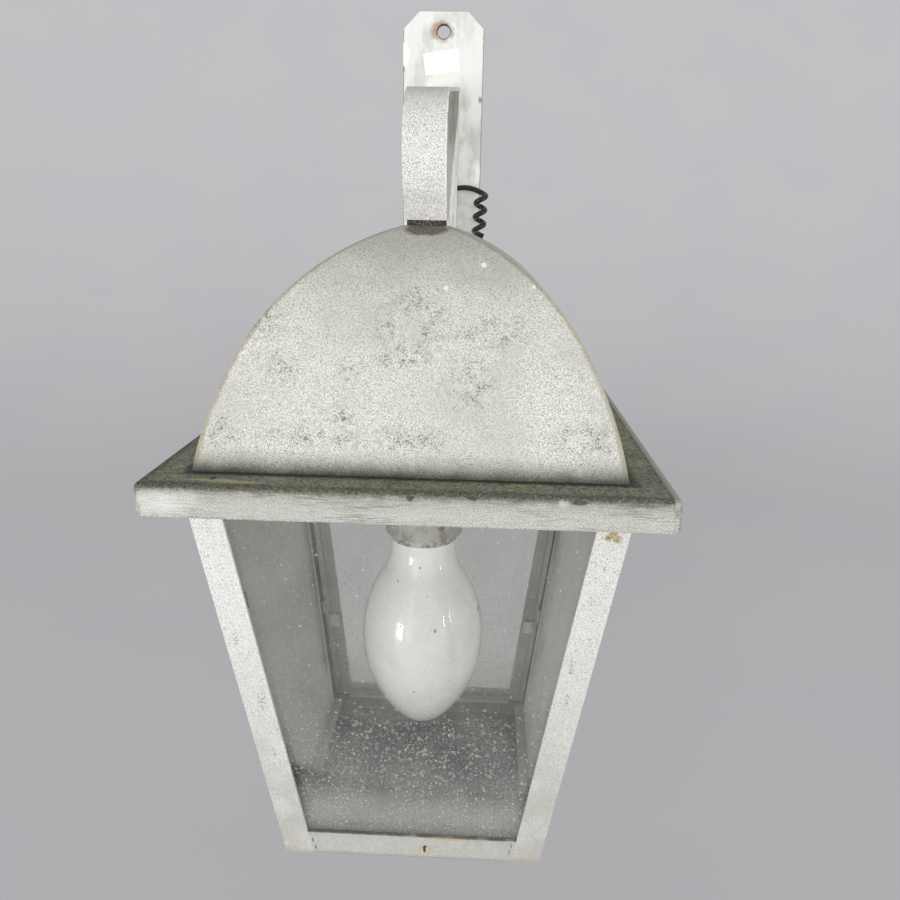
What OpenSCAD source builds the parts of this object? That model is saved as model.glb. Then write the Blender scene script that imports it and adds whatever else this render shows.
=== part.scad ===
// Outdoor wall lantern: a four-sided tapered glass body under a square dome, hung from a box arm
// on a flat wall plate, with a screw-cap lamp inside and a bottom tray that swings down.
// Millimetres. X is to the right, Y is towards the wall, Z is up, and the origin is the middle
// of the plate's back face. The body's own axis stands in front of the wall by arm_reach, and
// its heights are counted from the underside of the brim.

/* [Wall bracket] */
// Width of the wall plate
plate_w = 50; // [46:1:60]
// Height of the wall plate
plate_h = 160; // [156:1:180]
// Thickness of the wall plate
plate_t = 4; // [3:0.5:6]
// Cut of the plate's corners
plate_cut = 10; // [4:1:14]
// Diameter of the two wall screw holes
hole_d = 8; // [5:0.5:9]
// Distance from each end of the wall plate to the middle of its screw hole
hole_edge = 11; // [9:0.5:14]
// Distance from the wall to the body's axis
arm_reach = 130; // [124:1:136]
// Height of the plate's middle above the underside of the brim
plate_rise = 162.4; // [161:0.2:164]
// Width of the arm
arm_w = 21; // [18:0.5:24]
// Thickness of the arm's straps
strap_t = 2; // [1.5:0.1:2.4]
// Outer radius of the arm's round nose
nose_r = 32.2; // [31:0.2:33]

/* [Dome and brim] */
// How far the brim stands out past the body's top, on each side
brim_overhang = 16; // [13:0.5:20]
// Height of the brim
brim_h = 14.5; // [12:0.5:17]
// How far the dome's foot stands in from the body's top, on each side
dome_inset = 3; // [1:0.5:6]
// Radius of the dome's side in profile
side_r = 178; // [176:1:182]
// Radius of the dome's crown in profile
crown_r = 106; // [104:1:108]
// Thickness of the dome sheet
dome_t = 1.2; // [0.8:0.1:1.6]
// Thickness of the brim, posts and bars
sheet_t = 1.6; // [1.2:0.1:2]

/* [Glazed body] */
// Width over the posts at the brim's underside
body_top_w = 193; // [188:1:196]
// Width over the posts at the bottom
body_bottom_w = 136; // [130:1:140]
// Height of the body below the brim
body_h = 209.2; // [200:0.4:220]
// Width of each post flange
post_w = 14.6; // [13:0.2:17]
// Height of the bottom bars
bar_h = 15.6; // [14:0.2:18]
// Thickness of the glass
glass_t = 3; // [2:0.5:4]

/* [Lamp] */
// Largest diameter of the lamp's glass
lamp_d = 70; // [66:0.2:74]
// Height of the lamp's widest place, below the brim
lamp_low = 110.4; // [108:0.2:114]
// Diameter of the porcelain lampholder
holder_d = 43; // [42:0.5:46]

/* [Lead] */
// Diameter of the black lead
lead_d = 3.4; // [3:0.1:3.6]
// Radius of the curls, to the middle of the lead
curl_r = 3; // [2.8:0.1:3.4]
// Drop of one curl
curl_pitch = 8.6; // [8:0.2:9]

/* [Hidden] */
$fn = 64;
eps = 0.5;
far = 400;
seam = 0.1;
axis_y = -arm_reach;
axis_z = -plate_rise;

// Distance between the two wall screw holes
hole_spacing = plate_h - 2 * hole_edge;

// Taper of the body, as half width gained per millimetre of height
body_half = body_top_w / 2;
lean = (body_top_w - body_bottom_w) / 2 / body_h;
lean_angle = atan(lean);
body_low = -body_h;
bar_top = body_low + bar_h;
ledge_low = brim_h - sheet_t;

// Dome profile: two arcs that meet where the tangent is the same, cut flat at the top
dome_w = body_top_w - 2 * dome_inset;
foot_lean = 10.8;
shoulder_z = 65;
side_cx = dome_w / 2 - side_r * cos(foot_lean);
side_cz = brim_h - side_r * sin(foot_lean);
shoulder_angle = asin((shoulder_z - side_cz) / side_r);
crown_cx = side_cx + (side_r - crown_r) * cos(shoulder_angle);
crown_cz = side_cz + (side_r - crown_r) * sin(shoulder_angle);
crown_flat_half = 10.5;
crown_rise = sqrt(pow(crown_r, 2) - pow(crown_flat_half - crown_cx, 2));
crown_flat = round(100 * (crown_cz + crown_rise)) / 100;

// Arm outline, seen from the side, in the body's own heights
gasket_t = 2.6;
foot_z = crown_flat + gasket_t;
nose_y = 11;
nose_lift = 30.59;
nose_z = foot_z + nose_lift;
foot_rear = 10;
knee_y = 37.8;
knee_lift = 23.59;
knee_z = foot_z + knee_lift;
tail_rise = 0.512;
top_slope = 8.4;
spine_front = 113;
spine_drop = 11.81;
spine_low = foot_z - spine_drop;
plate_front = arm_reach - plate_t;
cheek_t = 1.6;
cable_gap_lift = 64.69;
cable_gap_h = 10.5;
cable_gap_low = foot_z + cable_gap_lift;
cable_gap_w = 14;
lead_exit_y = 119.5;
lead_exit_z = 139.6;
lead_hole_d = 4.4;

// Blank label
label_w = 22;
label_h = 12.5;
label_t = 0.3;
label_x = -1;
label_drop = 1.465;
label_z = (plate_rise + hole_spacing / 2 + top_z(plate_front, 0)) / 2 - label_drop;
label_turn = 8;

// Neck
pipe_d = 10;
pipe_bore = 7;
pipe_hole_d = 10.6;
pipe_below = 11.2;
pipe_above = 7.2;
neck_low = crown_flat - pipe_below;
neck_high = foot_z + pipe_above;
gasket_d = 20;
neck_washer_d = 18.6;
neck_washer_t = 1.6;
pipe_nut_af = 14;
neck_nut_h = 4;

// Brim
brim_w = body_top_w + 2 * brim_overhang;
brim_corner = 4.5;
brim_edge_top = 3;
brim_edge_low = 1.2;
ledge_seat = 8.5;
ledge_open = dome_w - 2 * ledge_seat;
ledge_corner = 3;
rail_low = 1;

// Glazing
pane_gap = 0.4;
pane_top = 9;
pane_side = 8;
shelf_w = 9;
pane_seat = bar_top - 3;
clip_t = 1;
clip_lip = 6;
clip_play = 1;
clip_h = 8;
clip_heights = [-55, -150];
clip_shift = 12;

// Bottom tray, its hinge and its screw
tray_t = 1.4;
tray_gap = 1.5;
tray_drop = 0.4;
tray_rim_z = -201;
tray_low = body_low - tray_drop - tray_t;
screw_x = 7;
screw_z = -203;
screw_d = 3;
screw_hole_d = 3.4;
screw_head_d = 6;
screw_head_h = 1.8;
screw_len = 9;
notch_w = 3.8;
notch_low = -204.9;
tray_nut_af = 5.5;
tray_nut_h = 2.4;
tray_nut_start = 4.9;
thread_play = 0.06;
hinge_out = 3.3;
hinge_y = body_bottom_w / 2 + hinge_out;
hinge_z = body_low - tray_drop - tray_t / 2;
knuckle_d = 6;
hinge_pin_d = 3;
hinge_play = 0.1;
hinge_half = 20;
leaf_w = 12;
leaf_gap = 0.3;
leaf_top = -197;
pin_head_d = 5;
pin_head_t = 1.2;

// Lampholder
strap_bar_w = 20;
strap_screw_edge = 3;
strap_screw_x = ledge_open / 2 + strap_screw_edge;
strap_bar_half = strap_screw_x + strap_screw_edge;
strap_screw_d = 3;
strap_head_d = 5.6;
strap_head_h = 1.8;
strap_nut_h = 2.4;
holder_rim = -46.5;
holder_split = -22;
holder_step = -44;
shell_od = 29.4;
shell_id = 27.4;
shell_low = -43;
insert_low = -12.9;
insert_t = 5;
cap_d = 41;
cap_wall = 1.2;
cap_top = 2;
bush_d = 14;
bush_top = 8;
holder_pipe_low = 2;
holder_pipe_high = 24;
holder_nut_h = 3;
terminal_w = 5;
terminal_x = 9;
spring_w = 6;
spring_half = 8;
spring_t = 0.9;

// Lamp outline: arcs at the tip, the side, the shoulder and the flare of the neck, each tangent
// to the next
lamp_wall = 0.8;
lamp_deep = 57.8;
tip_r = 20;
neck_r = 18.6;
upper_r = 75.6;
flare_r = 29;
neck_gap = 0.9;
holder_bore = 2 * (neck_r + neck_gap);
lamp_r = lamp_d / 2;
side_drop = lamp_deep - tip_r;
belly_r = (lamp_r * lamp_r + side_drop * side_drop - tip_r * tip_r) / (2 * (lamp_r - tip_r));
upper_x = lamp_r - upper_r;
flare_x = neck_r + flare_r;
flare_rise = sqrt(pow(upper_r + flare_r, 2) - pow(flare_x - upper_x, 2));
neck_z = -lamp_low + flare_rise;
lamp_cap_d = 26.4;
lamp_cap_low = -45;
lamp_cap_high = -17;
lamp_tip_z = -14;
lamp_tip_d = 10;
lamp_seal_d = 22;

// Lead inside the arm and outside it, in the body's own heights
core_d = 1.2;
core_side = 0.9;
sheath_end = 4;
inner_route = [
    [0, 0, sheath_end],
    [0, 0, 16],
    [0, 0, 45],
    [0, 0, 75],
    [0, 0, 100],
    [0, 0, 124],
    [0, 1, 140],
    [0, 9, 155],
    [0, 28, 166],
    [0, 60, 177],
    [0, 95, 186],
    [0, 111, 188.5],
    [0, 119, 183],
    [0, 119.5, 170],
    [0, 119.5, 155],
    [0.6, 119.5, 144],
    [4.2, 119.5, 139.8],
    [10.5, 119.5, lead_exit_z]
];
curl_x = 26;
curl_y = 118;
curl_z = 137.2;
curl_turns = 3;
curl_drift = -0.35;
lead_end_slope = atan(curl_pitch / (2 * PI * curl_r));
tail_end = [
    curl_x - lead_d * cos(lead_end_slope),
    curl_y + curl_r,
    curl_z + lead_d * sin(lead_end_slope)
];
tail_route = [
    [10.5, 119.5, lead_exit_z],
    [14, 119.7, 140],
    [18, 120.4, 139.9],
    [20.8, 120.9, 139.3],
    tail_end
];

// Helpers

module on_axis() {
    translate([0, axis_y, axis_z]) children();
}

module along_x(length) {
    rotate([90, 0, 90]) translate([0, 0, -length / 2]) linear_extrude(length) children();
}

module along_y(y0, y1) {
    translate([0, y1, 0]) rotate([90, 0, 0]) linear_extrude(y1 - y0) children();
}

module tube(outer_d, bore_d, z0, z1) {
    translate([0, 0, z0]) difference() {
        cylinder(d = outer_d, h = z1 - z0);
        translate([0, 0, -eps]) cylinder(d = bore_d, h = z1 - z0 + 2 * eps);
    }
}

module nut(flats, bore_d, z0, z1) {
    translate([0, 0, z0]) difference() {
        cylinder(d = flats / cos(30), h = z1 - z0, $fn = 6);
        translate([0, 0, -eps]) cylinder(d = bore_d, h = z1 - z0 + 2 * eps);
    }
}

module round_square(width, corner) {
    straight = width - 2 * corner;
    square([width, straight], center = true);
    square([straight, width], center = true);
    for (sx = [-1, 1], sy = [-1, 1])
        translate([sx * straight / 2, sy * straight / 2]) circle(r = corner);
}

// A bar that follows the taper: each side is given at brim level, with its gain per millimetre
module leaning_bar(x0, x1, y0, y1, z0, z1, gx0, gx1, gy0, gy1) {
    intersection() {
        along_y(-far, far) polygon([
            [x0 + gx0 * z0, z0], [x1 + gx1 * z0, z0], [x1 + gx1 * z1, z1], [x0 + gx0 * z1, z1]
        ]);
        along_x(2 * far) polygon([
            [y0 + gy0 * z0, z0], [y1 + gy1 * z0, z0], [y1 + gy1 * z1, z1], [y0 + gy0 * z1, z1]
        ]);
    }
}

// A bar on the front side: depth is counted inwards from the outer face
module front_bar(half, z0, z1, depth0, depth1) {
    leaning_bar(
        -half, half, -(body_half - depth0), -(body_half - depth1), z0, z1,
        -lean, lean, -lean, -lean
    );
}

// The four sides: front 0, right 90, rear 180, left 270
module on_side(turn) {
    on_axis() rotate([0, 0, turn]) children();
}

// A tube swept along points, with one ring at each and its ends closed
function unit(v) = v / norm(v);
function tangent(path, i) =
    unit(path[min(i + 1, len(path) - 1)] - path[max(i - 1, 0)]);
function across(v, t) = unit(v - (v * t) * t);
function frames(path, start) = [
    for (
        i = 0, side = across(start, tangent(path, 0));
        i < len(path);
        i = i + 1, side = across(side, tangent(path, min(i, len(path) - 1)))
    ) side
];
function rings(path, start, radius, sides) = let (side = frames(path, start)) [
    for (i = [0:len(path) - 1])
        let (other = cross(tangent(path, i), side[i]))
            for (j = [0:sides - 1])
                let (turn = 360 * (j + 0.5) / sides)
                    path[i] + radius * (cos(turn) * side[i] + sin(turn) * other)
];
function skin(count, sides) = [
    for (i = [0:count - 2], j = [0:sides - 1])
        let (a = i * sides + j, b = i * sides + (j + 1) % sides)
            each [[a, a + sides, b], [b, a + sides, b + sides]]
];
function lids(count, sides) = [
    for (j = [1:sides - 2])
        each [
            [0, j, j + 1],
            [(count - 1) * sides, (count - 1) * sides + j + 1, (count - 1) * sides + j]
        ]
];

module swept(path, start, radius, sides) {
    count = len(path);
    polyhedron(
        points = rings(path, start, radius, sides),
        faces = concat(skin(count, sides), lids(count, sides))
    );
}

// A smooth path through hand-chosen points
function spline(a, b, c, d, t) =
    0.5 * (2 * b + (c - a) * t + (2 * a - 5 * b + 4 * c - d) * t * t
    + (3 * b - a - 3 * c + d) * t * t * t);
function smooth(route, steps) = [
    for (i = [0:len(route) - 2], k = [0:steps - 1])
        spline(
            route[max(i - 1, 0)], route[i], route[i + 1],
            route[min(i + 2, len(route) - 1)], k / steps
        ),
    route[len(route) - 1]
];

// Wall bracket

module wall_plate() {
    color("#d9d9cf")
    difference() {
        along_y(-plate_t, 0) polygon([
            [-plate_w / 2, -plate_h / 2 + plate_cut],
            [-plate_w / 2 + plate_cut, -plate_h / 2],
            [plate_w / 2 - plate_cut, -plate_h / 2],
            [plate_w / 2, -plate_h / 2 + plate_cut],
            [plate_w / 2, plate_h / 2 - plate_cut],
            [plate_w / 2 - plate_cut, plate_h / 2],
            [-plate_w / 2 + plate_cut, plate_h / 2],
            [-plate_w / 2, plate_h / 2 - plate_cut]
        ]);
        for (side = [-1, 1])
            along_y(-plate_t - eps, eps)
                translate([0, side * hole_spacing / 2]) circle(d = hole_d);
    }
}

module blank_label() {
    color("#f4f4ef")
    on_axis() along_y(plate_front - label_t, plate_front)
        translate([label_x, label_z]) rotate(label_turn)
            square([label_w, label_h], center = true);
}

// Side view of the arm, drawn inwards from its outline by an inset
knee_rise = (knee_z - foot_z) / (knee_y - foot_rear);
function lift(slope, inset) = inset * sqrt(1 + slope * slope);
function heel_y(inset) = foot_rear + (inset - lift(knee_rise, inset)) / knee_rise;
function knee_shift(inset) =
    (lift(knee_rise, inset) - lift(tail_rise, inset)) / (tail_rise - knee_rise);
function low_points(inset, end_y) = [
    [heel_y(inset), foot_z + inset],
    [knee_y + knee_shift(inset), knee_z + lift(knee_rise, inset) + knee_rise * knee_shift(inset)],
    [end_y, knee_z + tail_rise * (end_y - knee_y) + lift(tail_rise, inset)]
];
function top_z(y, inset) =
    nose_z + (nose_r - inset) / cos(top_slope) + tan(top_slope) * (y - nose_y);

module arm_side(inset, end_y) {
    nose = nose_r - inset;
    translate([nose_y, nose_z]) intersection() {
        circle(r = nose);
        union() {
            translate([-nose_r, 0]) square(nose_r);
            translate([-nose_r, foot_z + inset - nose_z])
                square([nose_r + 0.75 * foot_rear - nose_y, nose_z - foot_z - inset]);
        }
    }
    polygon(concat(
        [
            [nose_y - nose * sin(top_slope), nose_z + nose * cos(top_slope)],
            [foot_rear / 2, foot_z + inset]
        ],
        low_points(inset, end_y),
        [[end_y, top_z(end_y, inset)]]
    ));
}

// What lies below the arm's underside, to an inset above it
module below_arm(inset, front_y, end_y) {
    polygon(concat(
        [[front_y, foot_z - eps], [front_y, foot_z + inset]],
        low_points(inset, end_y),
        [[end_y, foot_z - eps]]
    ));
}

module arm_outer_strap() {
    color("#d6d6ca")
    on_axis() difference() {
        along_x(arm_w) difference() {
            arm_side(0, plate_front);
            arm_side(strap_t, plate_front + eps);
            below_arm(2 * strap_t, foot_rear, plate_front + eps);
        }
        translate([0, 0, foot_z - eps]) cylinder(d = pipe_d + 2 * seam, h = pipe_above + eps);
    }
}

module arm_inner_strap() {
    color("#cfcfc2")
    on_axis() along_x(arm_w) difference() {
        below_arm(strap_t, foot_rear, spine_front);
        below_arm(0, foot_rear - eps, spine_front + eps);
    }
}

module arm_cheek(side) {
    on_axis() translate([side * (arm_w / 2 - cheek_t / 2), 0, 0])
        along_x(cheek_t) arm_side(strap_t + seam, spine_front);
}

module arm_cheek_left() {
    color("#b9bbad") arm_cheek(-1);
}

module arm_cheek_right() {
    color("#b9bbad") arm_cheek(1);
}

module spine_channel() {
    color("#d9d9cf")
    on_axis() difference() {
        along_x(arm_w) polygon([
            [spine_front, spine_low],
            [plate_front, spine_low],
            [plate_front, top_z(plate_front, strap_t)],
            [spine_front, top_z(spine_front, strap_t)]
        ]);
        translate([-arm_w / 2 + cheek_t, spine_front + cheek_t, spine_low - eps])
            cube([arm_w - 2 * cheek_t, plate_front, plate_h]);
        translate([-cable_gap_w / 2, spine_front - eps, cable_gap_low])
            cube([cable_gap_w, cheek_t + 2 * eps, cable_gap_h]);
        translate([arm_w / 2, lead_exit_y, lead_exit_z]) rotate([0, 90, 0])
            cylinder(d = lead_hole_d, h = 2 * cheek_t + eps, center = true);
    }
}

// Neck

module neck_pipe() {
    color("#8f9086") on_axis() tube(pipe_d, pipe_bore, neck_low, neck_high);
}

module neck_gasket() {
    color("#3b332c") on_axis() tube(gasket_d, pipe_hole_d, crown_flat, foot_z);
}

module neck_washer() {
    color("#8f9086") on_axis()
        tube(neck_washer_d, pipe_hole_d, crown_flat - dome_t - neck_washer_t, crown_flat - dome_t);
}

module neck_nut() {
    nut_high = crown_flat - dome_t - neck_washer_t;
    color("#8f9086") on_axis()
        nut(pipe_nut_af, pipe_d + 2 * seam, nut_high - neck_nut_h, nut_high);
}

// Dome and brim

// Half of the dome's section, inset from the outside
module dome_half(inset) {
    high = crown_flat - inset - brim_h;
    intersection() {
        translate([side_cx, side_cz]) circle(r = side_r - inset);
        translate([0, brim_h]) square([dome_w, shoulder_z - brim_h]);
    }
    intersection() {
        translate([crown_cx, crown_cz]) circle(r = crown_r - inset);
        translate([0, shoulder_z]) square([dome_w, high + brim_h - shoulder_z]);
    }
    intersection() {
        translate([side_cx, side_cz]) circle(r = side_r - inset);
        translate([crown_cx, crown_cz]) circle(r = crown_r - inset);
        translate([0, brim_h]) square([dome_w, high]);
    }
}

module dome_panel() {
    difference() {
        intersection() {
            rotate([0, 0, -90]) along_y(-dome_w, dome_w) difference() {
                dome_half(0);
                intersection() {
                    dome_half(dome_t);
                    translate([-eps, brim_h - eps]) square([dome_w, crown_flat - dome_t - brim_h + eps]);
                }
                translate([-dome_w, brim_h - eps]) square([dome_w, far]);
            }
            translate([0, 0, brim_h - eps]) linear_extrude(crown_flat)
                polygon([[0, 0], [-dome_w, -dome_w], [dome_w, -dome_w]]);
        }
        translate([0, 0, crown_flat - 2 * dome_t]) cylinder(d = pipe_hole_d, h = 3 * dome_t);
    }
}

module dome_front() {
    color("#c9c9b8") on_side(0) dome_panel();
}

module dome_rear() {
    color("#c9c9b8") on_side(180) dome_panel();
}

module dome_left() {
    color("#c9c9b8") on_side(270) dome_panel();
}

module dome_right() {
    color("#c9c9b8") on_side(90) dome_panel();
}

// The rounded edge at one of the brim's corners, as a ring with a round section
module brim_edge(edge_r, z) {
    translate([0, 0, z]) rotate_extrude($fn = 32) intersection() {
        translate([brim_corner - edge_r, 0]) circle(r = edge_r);
        translate([0, -edge_r]) square([brim_corner, 2 * edge_r]);
    }
}

module brim_outside() {
    straight = brim_w / 2 - brim_corner;
    hull() for (sx = [-1, 1], sy = [-1, 1]) translate([sx * straight, sy * straight, 0]) {
        brim_edge(brim_edge_top, brim_h - brim_edge_top);
        brim_edge(brim_edge_low, brim_edge_low);
    }
}

module brim() {
    color("#cfcfc0")
    on_axis() difference() {
        brim_outside();
        translate([0, 0, -eps]) linear_extrude(ledge_low + eps)
            round_square(brim_w - 2 * sheet_t, brim_corner - sheet_t);
        linear_extrude(brim_h + eps) round_square(ledge_open, ledge_corner);
        for (side = [-1, 1])
            translate([side * strap_screw_x, 0, 0])
                cylinder(d = strap_screw_d + 2 * seam, h = brim_h + eps);
    }
}

// Posts, rails, bars and glass

module post(sx, sy) {
    on_axis() mirror([sx < 0 ? 1 : 0, 0, 0]) mirror([0, sy > 0 ? 1 : 0, 0]) {
        leaning_bar(
            body_half - post_w, body_half, -body_half, -(body_half - sheet_t),
            body_low, ledge_low, lean, lean, -lean, -lean
        );
        leaning_bar(
            body_half - sheet_t, body_half, -body_half, -(body_half - post_w),
            body_low, ledge_low, lean, lean, -lean, -lean
        );
    }
}

module post_front_left() {
    color("#cfcfc0") post(-1, -1);
}

module post_front_right() {
    color("#cfcfc0") post(1, -1);
}

module post_rear_left() {
    color("#cfcfc0") post(-1, 1);
}

module post_rear_right() {
    color("#cfcfc0") post(1, 1);
}

module rail() {
    front_bar(body_half - post_w, rail_low, ledge_low, 0, sheet_t);
}

module rail_front() {
    color("#bfbfb0") on_side(0) rail();
}

module rail_rear() {
    color("#bfbfb0") on_side(180) rail();
}

module rail_left() {
    color("#bfbfb0") on_side(270) rail();
}

module rail_right() {
    color("#bfbfb0") on_side(90) rail();
}

module bar() {
    front_bar(body_half - post_w, body_low, bar_top, 0, sheet_t);
    front_bar(body_half - post_w, pane_seat - sheet_t, pane_seat, sheet_t - seam, sheet_t + shelf_w);
}

// A place on the front bar's outer face, with its own Y axis square to that face
module on_bar_face() {
    translate([screw_x, -(body_half + lean * screw_z), screw_z]) rotate([lean_angle, 0, 0]) children();
}

module bar_front() {
    color("#cfcfc0")
    on_side(0) difference() {
        bar();
        on_bar_face() along_y(-sheet_t, 2 * sheet_t) circle(d = screw_hole_d);
    }
}

module bar_rear() {
    color("#cfcfc0") on_side(180) bar();
}

module bar_left() {
    color("#cfcfc0") on_side(270) bar();
}

module bar_right() {
    color("#cfcfc0") on_side(90) bar();
}

module pane() {
    pane_depth = sheet_t + pane_gap;
    front_bar(body_half - pane_side, pane_seat, pane_top, pane_depth, pane_depth + glass_t);
}

module pane_front() {
    color("#aeb6b4", 0.4) on_side(0) pane();
}

module pane_rear() {
    color("#aeb6b4", 0.4) on_side(180) pane();
}

module pane_left() {
    color("#aeb6b4", 0.4) on_side(270) pane();
}

module pane_right() {
    color("#aeb6b4", 0.4) on_side(90) pane();
}

// One bent clip at the right end of a front pane: foot on the post, web, lip over the glass
module pane_clip(z) {
    glass_in = sheet_t + pane_gap + glass_t;
    web_x = body_half - pane_side + seam;
    post_in = body_half - sheet_t - clip_play;
    front = -(body_half - sheet_t);
    lip = -(body_half - glass_in) + seam;
    leaning_bar(web_x, post_in, front, front + clip_t, z, z + clip_h, lean, lean, -lean, -lean);
    leaning_bar(
        web_x, web_x + clip_t, front, lip + clip_t, z, z + clip_h, lean, lean, -lean, -lean
    );
    leaning_bar(
        web_x - clip_lip, web_x + clip_t, lip, lip + clip_t, z, z + clip_h, lean, lean, -lean, -lean
    );
}

module pane_clips() {
    color("#a8a89c")
    for (turn = [0:3], z = clip_heights, hand = [0, 1])
        on_side(90 * turn) mirror([hand, 0, 0]) pane_clip(z + clip_shift * (turn % 2));
}

// Bottom tray

module tray_box() {
    wall = sheet_t + tray_gap;
    half = body_half - wall;
    difference() {
        leaning_bar(
            -half, half, -half, half, tray_low, tray_rim_z,
            -lean, lean, -lean, lean
        );
        leaning_bar(
            -half + tray_t, half - tray_t, -half + tray_t, half - tray_t,
            tray_low + tray_t, tray_rim_z + eps, -lean, lean, -lean, lean
        );
    }
}

module bottom_tray() {
    color("#c3c3b4")
    on_axis() difference() {
        union() {
            tray_box();
            translate([-hinge_half + leaf_gap, body_bottom_w / 2 - 5, tray_low])
                cube([2 * (hinge_half - leaf_gap), hinge_y - body_bottom_w / 2 + 5, tray_t]);
            translate([0, hinge_y, hinge_z]) rotate([0, 90, 0])
                cylinder(d = knuckle_d, h = 2 * (hinge_half - leaf_gap), center = true);
        }
        translate([0, hinge_y, hinge_z]) rotate([0, 90, 0])
            cylinder(d = hinge_pin_d + hinge_play, h = 3 * hinge_half, center = true);
        translate([screw_x - notch_w / 2, -body_half, notch_low])
            cube([notch_w, body_half / 2, tray_rim_z - notch_low + eps]);
    }
}

module tray_hinge_leaves() {
    color("#b3b3a6")
    on_axis() difference() {
        for (side = [-1, 1]) {
            middle = side * (hinge_half + leaf_w / 2);
            translate([middle, hinge_y, hinge_z]) rotate([0, 90, 0])
                cylinder(d = knuckle_d, h = leaf_w, center = true);
            leaning_bar(
                middle - leaf_w / 2, middle + leaf_w / 2, body_half, body_half + sheet_t,
                tray_low, leaf_top, 0, 0, lean, lean
            );
        }
        translate([0, hinge_y, hinge_z]) rotate([0, 90, 0])
            cylinder(d = hinge_pin_d + hinge_play, h = 6 * hinge_half, center = true);
    }
}

module tray_hinge_pin() {
    pin_half = hinge_half + leaf_w;
    color("#9a9a8e")
    on_axis() translate([0, hinge_y, hinge_z]) rotate([0, 90, 0]) {
        cylinder(d = hinge_pin_d, h = 2 * (pin_half + pin_head_t), center = true);
        for (side = [-1, 1])
            translate([0, 0, side * (pin_half + pin_head_t / 2)])
                cylinder(d = pin_head_d, h = pin_head_t, center = true);
    }
}

module tray_screw() {
    head_r = (pow(screw_head_d / 2, 2) + pow(screw_head_h, 2)) / (2 * screw_head_h);
    color("#d2d2c4")
    on_side(0) on_bar_face() rotate([-90, 0, 0]) {
        cylinder(d = screw_d, h = screw_len);
        intersection() {
            translate([0, 0, head_r - screw_head_h]) sphere(r = head_r);
            translate([0, 0, -screw_head_h]) cylinder(d = screw_head_d, h = screw_head_h);
        }
    }
}

module tray_nut() {
    color("#9a9a8e")
    on_side(0) on_bar_face() rotate([-90, 0, 0])
        nut(tray_nut_af, screw_d + 2 * thread_play, tray_nut_start, tray_nut_start + tray_nut_h);
}

// Lampholder and its strap

module holder_strap() {
    color("#a9a99c")
    on_axis() difference() {
        translate([-strap_bar_half, -strap_bar_w / 2, brim_h])
            cube([2 * strap_bar_half, strap_bar_w, strap_t]);
        translate([0, 0, brim_h - eps]) cylinder(d = pipe_hole_d, h = strap_t + 2 * eps);
        for (side = [-1, 1])
            translate([side * strap_screw_x, 0, brim_h - eps])
                cylinder(d = strap_screw_d + 2 * seam, h = strap_t + 2 * eps);
    }
}

module strap_screws() {
    color("#9a9a8e")
    on_axis() for (side = [-1, 1]) translate([side * strap_screw_x, 0, 0]) {
        translate([0, 0, ledge_low - strap_nut_h - 1])
            cylinder(d = strap_screw_d, h = sheet_t + strap_t + strap_nut_h + 1);
        translate([0, 0, brim_h + strap_t]) cylinder(d = strap_head_d, h = strap_head_h);
    }
}

module strap_nuts() {
    color("#9a9a8e")
    on_axis() for (side = [-1, 1]) translate([side * strap_screw_x, 0, 0])
        nut(tray_nut_af, strap_screw_d + 2 * seam, ledge_low - strap_nut_h, ledge_low);
}

module holder_pipe() {
    color("#b59a55") on_axis() tube(pipe_d, pipe_bore, holder_pipe_low, holder_pipe_high);
}

module holder_nuts() {
    strap_high = brim_h + strap_t;
    color("#b59a55") on_axis() {
        nut(pipe_nut_af, pipe_d + 2 * seam, brim_h - holder_nut_h, brim_h);
        nut(pipe_nut_af, pipe_d + 2 * seam, strap_high, strap_high + holder_nut_h);
    }
}

module holder_cap() {
    color("#d8d5c8")
    on_axis() difference() {
        union() {
            translate([0, 0, holder_split]) cylinder(d = cap_d, h = cap_top - holder_split);
            cylinder(d = bush_d, h = bush_top);
        }
        translate([0, 0, holder_split - eps])
            cylinder(d = cap_d - 2 * cap_wall, h = cap_top - cap_wall - holder_split + eps);
        cylinder(d = pipe_d + 2 * seam, h = bush_top + eps);
    }
}

module holder_body() {
    color("#cfcbbb")
    on_axis() difference() {
        translate([0, 0, holder_rim]) cylinder(d = holder_d, h = holder_split - holder_rim);
        translate([0, 0, holder_rim - eps]) cylinder(d = holder_bore, h = holder_step - holder_rim + eps);
        translate([0, 0, holder_rim]) cylinder(d = shell_od + 2 * seam, h = far);
    }
}

module holder_shell() {
    color("#b59a55") on_axis() tube(shell_od, shell_id, shell_low, insert_low);
}

module holder_insert() {
    color("#cfcbbb")
    on_axis() translate([0, 0, insert_low])
        cylinder(d = cap_d - 2 * cap_wall - 2 * seam, h = insert_t);
}

module holder_spring() {
    color("#b59a55")
    on_axis() translate([-spring_half, -spring_w / 2, insert_low - spring_t])
        cube([2 * spring_half, spring_w, spring_t]);
}

module holder_terminals() {
    color("#b59a55")
    on_axis() for (side = [-1, 1])
        translate([side * terminal_x, 0, insert_low + insert_t + terminal_w / 2])
            cube(terminal_w, center = true);
}

// Lamp

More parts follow.
